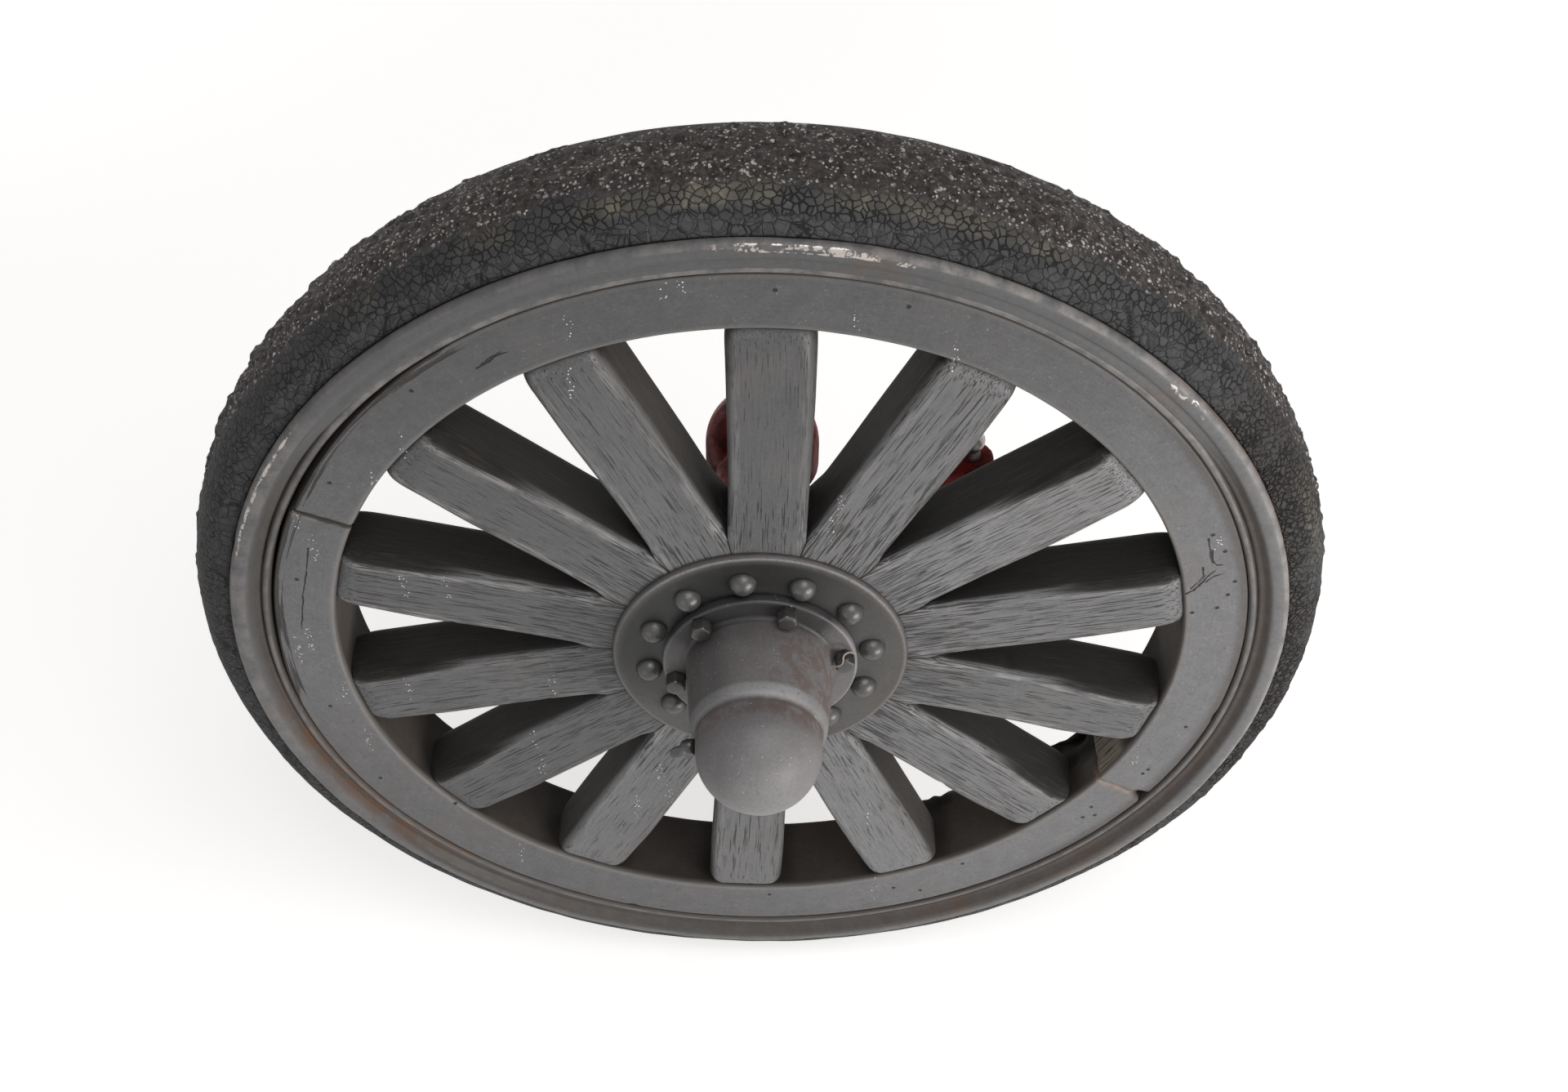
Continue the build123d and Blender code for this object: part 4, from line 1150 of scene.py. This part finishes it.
class OLDWHEEL_OT_spokes(bpy.types.Operator):
    """Build the fourteen wooden spokes, mitred together at the hub"""

    bl_idname = "oldwheel.spokes"
    bl_label = "Wooden spokes"

    def execute(self, context):
        finish = spoke_finish(colours())
        half_pitch = math.pi / 14
        hub, throat, shoulder, end = 0.0605, 0.1314, 0.329, 0.3412
        along = np.concatenate([
            np.linspace(hub, 0.118, 8)[:-1], np.linspace(0.118, 0.165, 26)[:-1],
            np.linspace(0.165, 0.314, 42)[:-1], np.linspace(0.314, end, 22),
        ])
        rings = []
        for reach in along:
            share = min(1, max(0, (reach - throat) / (shoulder - throat)))
            half = min(0.03 + 0.003 * share, reach * math.tan(half_pitch)) - 0.00012
            opened = float(ramp(reach, throat - 0.001, throat + 0.017))
            front = 0.005 + 0.001 * float(ramp(reach, throat, 0.19))
            back = 0.062 - 0.002 * share
            close = np.clip((reach - 0.316) / (0.34 - 0.316), 0, 1)
            tuck = 0.0105 * (1 - math.sqrt(1 - close**2.4))
            half, front, back = half - tuck * 0.35, front + tuck, back - tuck * 0.3
            soft_front = 0.0007 + 0.0053 * opened + 0.006 * float(ramp(reach, 0.26, 0.335))
            soft_back = 0.0007 + 0.0103 * float(ramp(reach, throat - 0.001, throat + 0.035))
            rings.append(rounded_outline(
                ((half, front, soft_front, 12), (half, back, soft_back, 9), (-half, back, soft_back, 12),
                 (-half, front, soft_front, 22)),
                8,
            ))
        rings = np.array(rings)
        normal = outward(rings)
        across, y = rings[..., 0], rings[..., 1]
        reach = along[:, None]
        for index in range(14):
            leaning = SPOKE_LEANS[index] * np.clip((reach - throat) / (shoulder - throat), 0, 1)
            angle = 2 + index * 360 / 14 + leaning
            strength = GRAIN_STRENGTH[index]
            points = on_spoke(across, FACE + y, reach, angle)
            own = together(across, FACE + y, reach * 0.06) + index * 3.7
            fibres = bumps(own, 0.0026, 41) * 0.00022 * (0.4 + strength)
            free = ramp(reach, throat - 0.003, throat + 0.006)
            push = ripple(points, 0.05, 42) + fibres * ramp(y, 0.05, 0.03)
            dings = -0.0009 * ramp(bumps(points, 0.014, 43 + index), 0.6, 0.95)
            dings = dings * ramp(np.abs(across), 0.018, 0.026)
            push = push * (0.35 + 0.65 * free) + dings * free * ramp(y, 0.03, 0.02)
            moved = rings + normal * push[..., None]
            upward = -np.sign(across) * np.sin(np.radians(angle))
            # on upward-facing sides the dark flank colour reaches over the front's rounded corner: painted
            # shade
            corner = 0.0055 * ramp(upward, 0.3, 0.8) * ramp(reach, 0.2, 0.32)
            flank = ramp(np.abs(across) + corner, 0.026, 0.031) * free
            flank = flank * np.maximum(ramp(y, 0.0085, 0.013), ramp(corner, 0, 0.004))
            flank = np.maximum(flank, ramp(y, 0.045, 0.055))
            crest = window(np.abs(across) + corner, 0.0232, 0.0268, 0.0018) * ramp(y, 0.012, 0.009)
            crest = crest * SPOKE_EDGES[index]
            to_rear = np.sign(across) * np.cos(np.radians(angle))
            # painted shade along the rounded front edges on the lower side of each spoke
            bevel_shade = np.maximum(ramp(upward, -0.3, -0.7), ramp(to_rear, 0.7, 0.9))
            bevel_shade = bevel_shade * ramp(np.abs(across), 0.0205, 0.0245) * free
            lip = window(reach, 0.333, 0.3385, 0.0025) * ramp(y, 0.012, 0.009)
            tip = window(reach, throat - 0.001, throat + 0.014, 0.006) * ramp(np.abs(across), 0.016, 0.026)
            # painted shade down the spoke's sides near the hub, where the spokes close in
            deep_side_shade = 0.75 * flank * ramp(reach, 0.27, 0.15)
            seam = ramp(np.abs(across) - reach * math.tan(half_pitch), -0.0012, -0.0003) * (1 - free)
            piece = skin(
                f"wooden_spoke_{index + 1:02d}",
                on_spoke(moved[..., 0], FACE + moved[..., 1], reach, angle),
                False,
                {
                    "grain": together(across, FACE + y, reach) + index * 0.37,
                    "strength": np.broadcast_to(strength, across.shape),
                    # each spoke's tone, with painted light and shade for how brightly it is lit
                    "pale": np.broadcast_to(SPOKE_TONE_AND_LIGHT[index], across.shape),
                    "flank": flank,
                    "shaded": flank * ramp(upward, 0.2, 0.7),
                    "bevel_shade": bevel_shade * ramp(reach, 0.14, 0.2) * ramp(y, 0.016, 0.011),
                    "worn": np.clip(crest + lip * 0.2 + tip * 0.8 * SPOKE_EDGES[index], 0, 1),
                    "grease_and_shade": np.clip(seam + ramp(reach, 0.3405, 0.3412) + deep_side_shade, 0, 1),
                    "foot": ramp(reach, 0.2, 0.14) * np.ones_like(across),
                    "splashed": splashed(points),
                },
            )
            dress(piece, "wheel", "spoke", finish, f"spoke_{index + 1:02d}")
        return {"FINISHED"}


# ---- hub


class OLDWHEEL_OT_hub(bpy.types.Operator):
    """Build the hub, its round plate and its cap"""

    bl_idname = "oldwheel.hub"
    bl_label = "Hub, plate and cap"

    def execute(self, context):
        paint = colours()
        flange = 0.119
        edge = np.radians(np.linspace(0, 90, 9))
        plate = np.vstack([
            np.linspace((0.0605, 0.005), (0.0605, 0.0), 3),
            np.linspace((0.062, 0.0), (flange - 0.003, 0.0), 34),
            np.column_stack([flange - 0.003 + 0.003 * np.sin(edge), 0.003 - 0.003 * np.cos(edge)])[1:],
            np.array([(flange, 0.005), (0.09, 0.005)]),
        ])

        def plate_shape(points, angle, radius, y):
            return ripple(points, 0.03, 51) * 0.7 - 0.0003 * ramp(bumps(points, 0.01, 52), 0.5, 0.9)

        def plate_painted(points, angle, radius, y):
            # wear and painted highlight along the plate's raised edge, stronger at the top
            edge_wear_and_highlight = window(radius, flange - 0.0028, flange - 0.0018, 0.0006)
            edge_wear_and_highlight = edge_wear_and_highlight * (0.35 + 0.4 * arc_window(angle, 10, 40, 30))
            outside = 0.5 * ramp(radius, flange - 0.0008, flange - 0.0001)
            # painted shade and painted reflection: darker towards the top and left of the plate
            top_left_shade = ramp(points[..., 2] - 0.5 * points[..., 0], -0.05, 0.1)
            top_left_shade = top_left_shade * ramp(radius, flange - 0.003, flange - 0.01)
            right = arc_window(angle, 100, 60, 30) * ramp(radius, flange - 0.02, flange) * 0.35
            return {"rust": np.clip(outside + right, 0, 1), "worn": edge_wear_and_highlight, "grease_and_shade": top_left_shade}

        piece = turned("round_plate", plate, plate_shape, plate_painted, segments=320)
        finish = hub_finish(paint, "Plate paint", paint.plate, 0.03)
        dress(piece, "wheel", "hub", finish, "hub_plate")

        bore, barrel, tail = 0.02755, 0.06, 0.056
        spoke_back, flange_back, hub_end = 0.062, 0.07, 0.096
        hub = np.array([
            (bore, 0.0), (barrel, 0.0), (barrel, 0.03), (barrel, spoke_back), (flange - 0.002, spoke_back),
            (flange, spoke_back + 0.001), (flange, flange_back - 0.0015), (flange - 0.0015, flange_back),
            (flange - 0.02, flange_back), (0.08, flange_back), (tail + 0.012, flange_back + 0.0002),
            (tail + 0.006, flange_back + 0.0015), (tail + 0.002, flange_back + 0.005),
            (tail, flange_back + 0.011),
            (tail, hub_end - 0.003), (tail - 0.0009, hub_end - 0.0009), (tail - 0.003, hub_end),
            (0.04, hub_end), (bore, hub_end), (bore, hub_end - 0.026), (bore + 0.011, hub_end - 0.03),
            (bore + 0.011, 0.03), (bore, 0.026),
        ])

        def hub_shape(points, angle, radius, y):
            return ripple(points, 0.03, 53) * 0.5 * ramp(radius, bore + 0.012, bore + 0.02)

        def hub_painted(points, angle, radius, y):
            blank = np.zeros_like(points[..., 0])
            grease_and_shade = ramp(bumps(points, 0.03, 54), -0.3, 0.5) * 0.8
            return {"rust": blank + 0.35, "worn": blank + 0.1, "grease_and_shade": grease_and_shade + blank}

        piece = turned("hub_body", hub, hub_shape, hub_painted, segments=260)
        dress(piece, "wheel", "hub", finish, "hub")

        seat, shoulder, dome_start = 0.0, -0.081, -0.094
        fillet = np.radians(np.linspace(0, 90, 8))
        barrel_side = smooth_path(
            (
                (0.0592, seat - 0.0125), (0.0578, seat - 0.03), (0.0562, seat - 0.05), (0.0548, seat - 0.064),
                (0.0539, shoulder + 0.0096), (0.0525, shoulder + 0.0042), (0.0505, shoulder + 0.0008),
            ),
            52,
        )
        turn = np.radians(np.linspace(0, 90, 32))
        dome = np.column_stack([0.0495 * np.cos(turn), dome_start - 0.0495 * np.sin(turn)])
        dome[-1, 0] = 0.0
        cap = np.vstack([
            np.array([(0.0525, seat), (0.078, seat), (0.078, seat - 0.003), (0.078, seat - 0.0062)]),
            np.column_stack([0.0756 + 0.0024 * np.cos(fillet), seat - 0.0066 - 0.0024 * np.sin(fillet)]),
            np.linspace((0.0745, seat - 0.009), (0.0635, seat - 0.009), 8),
            np.column_stack([0.0627 - 0.0035 * np.sin(fillet), seat - 0.0125 + 0.0035 * np.cos(fillet)]),
            barrel_side[1:],
            np.array([(0.0497, shoulder + 0.0006), (0.0494, shoulder - 0.0006), (0.0495, shoulder - 0.004)]),
            np.linspace((0.0495, shoulder - 0.008), (0.0495, dome_start + 0.001), 4),
            dome,
            np.array([
                (0.0, dome_start - 0.0445), (0.0172, dome_start - 0.041), (0.0315, dome_start - 0.0315),
                (0.041, dome_start - 0.0172), (0.0445, dome_start), (0.0445, shoulder),
                (0.046, shoulder + 0.006),
                (0.0525, seat - 0.009),
            ]),
        ])

        def cap_shape(points, angle, radius, y):
            dents = bumps(points, 0.028, 55) * 0.00035 + bumps(points, 0.009, 56) * 0.0001
            return dents * ramp(radius, 0, 0.004)

        def cap_painted(points, angle, radius, y):
            # painted highlight: a light band round the rounded shoulder, weaker on the right
            lit = 1 - 0.55 * arc_window(angle, 95, 40, 30)
            band = window(y, shoulder + 0.002, shoulder + 0.0095, 0.0045) * ramp(radius, 0.0505, 0.052) * lit
            # painted highlight along the flange's edge
            brim_highlight = window(radius, 0.0765, 0.0782, 0.0006) * ramp(y, seat - 0.002, seat - 0.006) * 0.7
            # painted reflection: the dome's lower edge is lighter
            low_reflection = ramp(y, dome_start - 0.036, dome_start - 0.0485) * 0.5
            seam = window(y, shoulder - 0.0008, shoulder + 0.0008, 0.0006) * ramp(radius, 0.0505, 0.0498)
            side = arc_window(angle, 80, 50, 34) + 0.5 * arc_window(angle, 272, 22, 20)
            on_dome = ramp(y, shoulder + 0.002, shoulder - 0.002)
            on_flange = ramp(y, seat - 0.011, seat - 0.0092)
            rust = (0.32 + 0.6 * side * ramp(y, shoulder - 0.03, shoulder + 0.02)) * (1 - 0.75 * on_flange)
            rust = rust + 0.5 * on_dome * ramp(y, dome_start - 0.012, shoulder - 0.006)
            rust = rust * (1 - 0.85 * on_dome * ramp(y, shoulder - 0.012, dome_start - 0.02))
            # rust and painted shade where the barrel meets the flange
            foot = ramp(y, seat - 0.012, seat - 0.0095) * ramp(radius, 0.066, 0.0605)
            # painted shade over the flange's top and the barrel's upper part
            top = ramp(y, seat - 0.014, seat - 0.0085) * (0.1 + 0.9 * arc_window(angle, 352, 40, 26))
            top = top + 0.45 * ramp(y, seat - 0.042, seat - 0.012) * arc_window(angle, 350, 50, 30)
            # painted shade on the barrel's left
            left = 0.35 * arc_window(angle, 285, 34, 24) * (1 - on_flange)
            left = left * ramp(y, shoulder - 0.002, shoulder + 0.004)
            return {
                "rust": np.clip(rust * (1 - band) + foot * 0.2, 0, 1),
                "worn": np.clip(band + brim_highlight + low_reflection * 0.6, 0, 1),
                "grease_and_shade": np.clip(seam * 0.45 + foot * 0.4 + top + left, 0, 1),
            }

        piece = turned("hub_cap_shell", cap, cap_shape, cap_painted, segments=220)
        dress(piece, "wheel", "hub", hub_finish(paint, "Cap metal", paint.cap, 0.3), "hub_cap")
        return {"FINISHED"}


# ---- fasteners


def spun(name, profile, sides):
    """A small closed shape turned round its own axis, with its head towards -Y."""
    angle = np.linspace(0, 360, sides, endpoint=False)[:, None]
    rings = on_wheel(profile[None, :, 0], profile[None, :, 1], angle)
    return skin(name, rings, True)


def hexagon(name, flats, height, crown):
    """A hexagonal head with turned corners, standing on its seat and pointing towards -Y."""
    sides = 36
    angle = np.linspace(0, 360, sides, endpoint=False)[:, None]
    reach = flats / 2 / np.cos(np.radians((angle + 30) % 60 - 30))
    round_top = flats / 2 * 1.02
    steps = ((1.0, 0.0), (1.0, 0.35), (1.0, 0.72), (0.985, 0.86))
    rings = [(reach * grow, -height * up + 0 * angle) for grow, up in steps]
    rings += [(np.minimum(reach * 0.955, round_top), -height * 0.96 + 0 * angle)]
    rings += [(np.minimum(reach * 0.88, round_top * 0.94), -height + 0 * angle)]
    for share in (0.7, 0.45, 0.2, 0.0):
        rings += [(flats / 2 * share + 0 * angle, -height - crown * (1 - share**2) + 0 * angle)]
    rings += [(0 * angle, 0 * angle), (flats / 4 + 0 * angle, 0 * angle)]
    radius = np.hstack([ring[0] for ring in rings])
    y = np.hstack([ring[1] for ring in rings])
    return skin(name, on_wheel(radius, y, angle), True)


def joined(name, *drafts):
    """One mesh object from several, which are removed."""
    shell = bmesh.new()
    for draft in drafts:
        shell.from_mesh(draft.data)
        bpy.data.objects.remove(draft)
    mesh = bpy.data.meshes.new(name)
    shell.to_mesh(mesh)
    shell.free()
    return add_piece(name, mesh)


RING_INPUTS = (
    ("Fastener", "Object"), ("Count", "Int"), ("Circle", "Float"), ("First angle", "Float"),
    ("Seat", "Float"), ("Turn of each", "Float"), ("Finish", "Material"),
)


def ring_tree():
    """A node tree that sets copies of one fastener round the wheel's axis."""
    tree = bpy.data.node_groups.new("Fasteners in a ring", "GeometryNodeTree")
    for name, kind in RING_INPUTS:
        tree.interface.new_socket(name, in_out="INPUT", socket_type="NodeSocket" + kind)
    tree.interface.new_socket("Geometry", in_out="OUTPUT", socket_type="NodeSocketGeometry")
    nodes = Nodes(tree)
    fastener, count, circle, first_angle, seat, turn_of_each, finish = (
        nodes.node("NodeGroupInput", output=name) for name, kind in RING_INPUTS
    )
    index = nodes.node("GeometryNodeInputIndex")
    pitch = nodes.math("DIVIDE", 2 * math.pi, count)
    angle = nodes.math("MULTIPLY_ADD", index, pitch, first_angle)
    place = {0: angle.math("SINE") * circle, 1: seat, 2: angle.math("COSINE") * circle}
    place = nodes.node("ShaderNodeCombineXYZ", inputs=place)
    turn = nodes.math("MULTIPLY_ADD", index, turn_of_each, angle)
    spin = nodes.node("ShaderNodeCombineXYZ", inputs={1: turn})
    points = nodes.node("GeometryNodePoints", inputs={"Count": count, "Position": place})
    shape = nodes.node("GeometryNodeObjectInfo", inputs={"Object": fastener}, output="Geometry")
    copies = {"Points": points, "Instance": shape, "Rotation": spin}
    copies = nodes.node("GeometryNodeInstanceOnPoints", inputs=copies)
    real = nodes.node("GeometryNodeRealizeInstances", inputs={0: copies})
    done = nodes.node("GeometryNodeSetMaterial", inputs={"Geometry": real, "Material": finish})
    nodes.node("NodeGroupOutput", inputs={0: done})
    return tree


def ring_of(name, fastener, finish, count, circle, first_angle, seat, turn_of_each):
    """A plain mesh of fasteners set round the wheel's axis; the pattern piece is removed."""
    draft = add_piece(name + "_draft", bpy.data.meshes.new(name + "_draft"))
    ring = draft.modifiers.new("Ring", "NODES")
    ring.node_group = ring_tree()
    values = {
        "Fastener": fastener, "Count": count, "Circle": circle, "First angle": math.radians(first_angle),
        "Seat": seat, "Turn of each": math.radians(turn_of_each), "Finish": finish,
    }
    for item in ring.node_group.interface.items_tree:
        if item.in_out == "INPUT":
            ring[item.identifier] = values[item.name]
    piece = bake_object(draft, name)
    bpy.data.objects.remove(fastener)
    return piece


def smooth_run(points, count):
    """Evenly spaced points along a smooth curve through points in space."""
    steps = np.arange(len(points), dtype=float)
    level = smooth_path(np.column_stack([steps, points[:, 0]]), count)
    others = [smooth_path(np.column_stack([steps, points[:, axis]]), count)[:, 1] for axis in (1, 2)]
    return np.column_stack([level[:, 1], *others])


def tube(name, path, wide, sides=8, thick=None):
    """A closed tube along a path, round or with a width and a thickness of its own at each point."""
    ahead = np.gradient(path, axis=0)
    ahead /= np.linalg.norm(ahead, axis=1, keepdims=True)
    up = np.cross(ahead, np.array([0.0, 1.0, 0.0]))
    up /= np.linalg.norm(up, axis=1, keepdims=True)
    across = np.cross(ahead, up)
    turn = np.linspace(0, 2 * math.pi, sides, endpoint=False)[None, :, None]
    wide = np.broadcast_to(wide, len(path))[:, None, None]
    thick = wide if thick is None else thick[:, None, None]
    ellipse = thick * across[:, None, :] * np.cos(turn) + wide * up[:, None, :] * np.sin(turn)
    return skin(name, path[:, None, :] + ellipse, False)


class OLDWHEEL_OT_fasteners(bpy.types.Operator):
    """Set the domed bolts round the plate, the cap's bolts, the locking wire and the grease plug"""

    bl_idname = "oldwheel.fasteners"
    bl_label = "Bolts, wire and plug"

    def execute(self, context):
        paint = colours()
        head, height = 0.011, 0.01
        ball = (head**2 + height**2) / (2 * height)
        arc = np.linspace(math.asin(head / ball), 0, 14)
        dome = np.column_stack([ball * np.sin(arc), ball - height - ball * np.cos(arc)])
        dome[0] = (head - 0.0003, -0.0005)
        rear = 0.07
        bolt = np.vstack([
            np.array([(head - 0.0001, 0.0)]), dome[1:],
            np.array([
                (0.0, rear + 0.0105), (0.0036, rear + 0.0105), (0.0046, rear + 0.0095),
                (0.0046, 0.004), (0.005, 0.0),
            ]),
        ])
        nut = hexagon("nut", flats=0.0175, height=0.008, crown=0.0)
        nut.data.transform(Matrix.Rotation(math.pi, 4, "X"))
        nut.data.transform(Matrix.Translation((0, rear, 0)))
        pattern = joined("bolt_pattern", spun("bolt", bolt, 40), nut)
        finish = bolt_finish(paint, "Bolt heads", BOLT_PAINT, 0.2)
        piece = ring_of(
            "plate_bolts", pattern, finish,
            count=12, circle=0.0907, first_angle=-8.8, seat=FACE, turn_of_each=47,
        )
        dress(piece, "wheel", "bolts", finish, "flange_bolts")

        rusty = bolt_finish(paint, "Rusty cap bolts", RUSTY_BOLT, 0.25)
        shank = np.array([(0.0, -0.004), (0.0039, -0.004), (0.0039, 0.013), (0.0, 0.0135)])
        hex_head = hexagon("head", flats=0.015, height=0.012, crown=0.0006)
        pattern = joined("cap_bolt_pattern", hex_head, spun("shank", shank, 18))
        piece = ring_of(
            "cap_screws", pattern, rusty,
            count=6, circle=0.069, first_angle=18, seat=FACE - 0.009, turn_of_each=17,
        )
        dress(piece, "wheel", "bolts", rusty, "cap_bolts")

        strand = np.array([
            (0.0542, -0.0190, 0.0145), (0.0575, -0.0212, 0.0158), (0.0612, -0.0222, 0.0172),
            (0.0642, -0.0224, 0.0193), (0.0656, -0.0222, 0.0232), (0.0659, -0.0205, 0.0272),
            (0.0686, -0.0180, 0.0284), (0.0722, -0.0158, 0.0268), (0.0748, -0.0140, 0.0224),
            (0.0752, -0.0128, 0.0165),
        ])
        strand[:, 1] += FACE
        piece = tube("locking_wire", smooth_run(strand, 60), sizes().wire / 2)
        dress(piece, "wheel", "bolts", bolt_finish(paint, "Rusty wire", RUSTY_WIRE, 0.3))

        neck = np.array([
            (-0.0500, -0.088, -0.0030), (-0.0555, -0.088, -0.0034), (-0.0575, -0.088, -0.0040),
            (-0.0588, -0.0884, -0.0052), (-0.0612, -0.0888, -0.0072), (-0.0640, -0.0892, -0.0100),
            (-0.0664, -0.0896, -0.0132), (-0.0676, -0.0897, -0.0150),
        ])
        neck[:, 1] += FACE
        wide = np.array((0.0070, 0.0070, 0.0062, 0.0040, 0.0060, 0.0064, 0.0040, 0.0012))
        thick = np.array((0.0062, 0.0062, 0.0052, 0.0032, 0.0024, 0.0022, 0.0018, 0.0010))
        plug = tube("grease_plug", neck, wide, 20, thick)
        dress(plug, "wheel", "bolts", bolt_finish(paint, "Blackened plug", BLACK_PLUG, 0.1))
        return {"FINISHED"}


# ---- steering knuckle


class OLDWHEEL_OT_knuckle(bpy.types.Operator):
    """Build the steering knuckle with its tie-rod arm, nut and ball stud"""

    bl_idname = "oldwheel.knuckle"
    bl_label = "Steering knuckle"

    def execute(self, context):
        finish = red_finish(colours())
        passes = sizes().forging_round
        piece = worn_copy("forged_knuckle", ("knuckle", "upper_boss", "lower_boss"), 2.1 * MM, passes)
        dress(piece, "knuckle_body", "knuckle", finish, "knuckle", "upper_boss", "lower_boss")
        piece = worn_copy("forged_arm", ("tie_rod_arm",), 1.5 * MM, passes)
        dress(piece, "knuckle_body", "knuckle", finish, "tie_rod_arm")
        piece = worn_copy("slotted_nut", ("arm_nut",), 0.9 * MM, 2)
        dress(piece, "knuckle_body", "knuckle", finish, "arm_nut")
        piece = worn_copy("ball_stud_steel", ("ball_stud",), 0.8 * MM, 2)
        dress(piece, "knuckle_body", "knuckle", bright_steel_finish(), "ball_stud")
        return {"FINISHED"}


# ---- stage


# metres that the floor lies under the tyre, and from the middle of the floor to its edge
FLOOR_GAP, FLOOR_REACH = 0.0006, 30.0
LIT_POINT = (0.0, -0.15, -0.05)
# name, place, width and height, watts and colour of each lamp
LAMPS = (
    ("Front right", (1.5, -1.65, -0.1), (1.3, 0.75), 31, (1.0, 0.985, 0.97)),
    ("Front left", (-1.3, -1.9, -0.04), (1.3, 0.75), 4, (0.97, 0.985, 1.0)),
    ("Overhead", (0.5, -1.1, 2.3), (1.8, 1.4), 30, WHITE),
    ("Rear right", (1.8, 2.2, 0.1), (1.8, 0.9), 14, WHITE),
    ("Rear left", (-1.8, 2.2, 0.1), (1.8, 0.9), 12, WHITE),
)
# where the camera stands, and how far it is turned aside, dipped and rolled, in radians
CAMERA_PLACE = (0.0058, -1.2466, 1.2578)
HEADING, DIP, ROLL = -0.0112, 0.8148, 0.0174


def area_lamp(name, place, size, power, tone):
    """A soft lamp that faces the wheel."""
    data = bpy.data.lights.new(name, "AREA")
    data.shape = "RECTANGLE"
    data.size, data.size_y = size
    data.energy = power
    data.color = tone
    lamp = bpy.data.objects.new(name, data)
    lamp.location = place
    lamp.rotation_euler = (Vector(LIT_POINT) - Vector(place)).to_track_quat("-Z", "Y").to_euler()
    bpy.context.scene.collection.objects.link(lamp)


def camera_axes():
    """The camera's right, up and backward directions."""
    forward = Vector((-math.sin(HEADING) * math.cos(DIP), math.cos(HEADING) * math.cos(DIP), -math.sin(DIP)))
    level = Vector((math.cos(HEADING), math.sin(HEADING), 0))
    upright = level.cross(forward)
    right = math.cos(ROLL) * level + math.sin(ROLL) * upright
    up = math.cos(ROLL) * upright - math.sin(ROLL) * level
    return right, up, -forward


class OLDWHEEL_OT_stage(bpy.types.Operator):
    """Set the pale floor, the soft lamps and the camera"""

    bl_idname = "oldwheel.stage"
    bl_label = "Floor, light and camera"

    def execute(self, context):
        scene = context.scene
        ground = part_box("tyre")[0].z - FLOOR_GAP
        mesh = bpy.data.meshes.new("pale_floor")
        corners = ((-1, -1), (1, -1), (1, 1), (-1, 1))
        mesh.from_pydata([(x * FLOOR_REACH, y * FLOOR_REACH, ground) for x, y in corners], [], [(0, 1, 2, 3)])
        floor = bpy.data.objects.new("pale_floor", mesh)
        scene.collection.objects.link(floor)
        finish = Finish("Pale floor")
        mesh.materials.append(finish.done(
            Base_Color=FLOOR,
            Roughness=0.9,
            Emission_Color=finish.blend(finish.seen_directly(), BLACK, FLOOR_GLOW),
            Emission_Strength=1.0,
        ))

        world = bpy.data.worlds.new("Studio")
        world.use_nodes = True
        nodes = Nodes(world.node_tree)
        tone = nodes.blend(nodes.seen_directly(), ROOM_LIGHT, WHITE)
        sky = nodes.node("ShaderNodeBackground", inputs={"Color": tone})
        nodes.node("ShaderNodeOutputWorld", inputs={"Surface": sky})
        scene.world = world

        for lamp in LAMPS:
            area_lamp(*lamp)

        data = bpy.data.cameras.new("Camera")
        data.sensor_width = 36
        data.lens = 46.87
        camera = bpy.data.objects.new("Camera", data)
        facing = Matrix(camera_axes()).transposed().to_4x4()
        camera.matrix_world = Matrix.Translation(CAMERA_PLACE) @ facing
        scene.collection.objects.link(camera)
        scene.camera = camera
        scene.view_settings.view_transform = "Standard"
        return {"FINISHED"}


# ---- the add-on


OPERATORS = (
    OLDWHEEL_OT_tyre, OLDWHEEL_OT_rim, OLDWHEEL_OT_felloe, OLDWHEEL_OT_spokes, OLDWHEEL_OT_hub,
    OLDWHEEL_OT_fasteners, OLDWHEEL_OT_knuckle, OLDWHEEL_OT_stage,
)


class OLDWHEEL_PT_panel(bpy.types.Panel):
    """The wheel's sizes, colours and pieces"""

    bl_idname = "OLDWHEEL_PT_panel"
    bl_label = "Old truck wheel"
    bl_space_type = "VIEW_3D"
    bl_region_type = "UI"
    bl_category = "Old wheel"

    def draw(self, context):
        for group in (context.scene.old_wheel_sizes, context.scene.old_wheel_colours):
            box = self.layout.box()
            for name in group.__annotations__:
                box.prop(group, name)
        for operator in OPERATORS:
            self.layout.operator(operator.bl_idname)


CLASSES = (OldWheelSizes, OldWheelColours, *OPERATORS, OLDWHEEL_PT_panel)


def register():
    for kind in CLASSES:
        bpy.utils.register_class(kind)
    bpy.types.Scene.old_wheel_sizes = PointerProperty(type=OldWheelSizes)
    bpy.types.Scene.old_wheel_colours = PointerProperty(type=OldWheelColours)


def unregister():
    del bpy.types.Scene.old_wheel_colours
    del bpy.types.Scene.old_wheel_sizes
    for kind in reversed(CLASSES):
        bpy.utils.unregister_class(kind)


def main():
    register()
    bpy.ops.oldwheel.tyre()
    bpy.ops.oldwheel.rim()
    bpy.ops.oldwheel.felloe()
    bpy.ops.oldwheel.spokes()
    bpy.ops.oldwheel.hub()
    bpy.ops.oldwheel.fasteners()
    bpy.ops.oldwheel.knuckle()
    bpy.ops.oldwheel.stage()


if __name__ == "__main__":
    main()
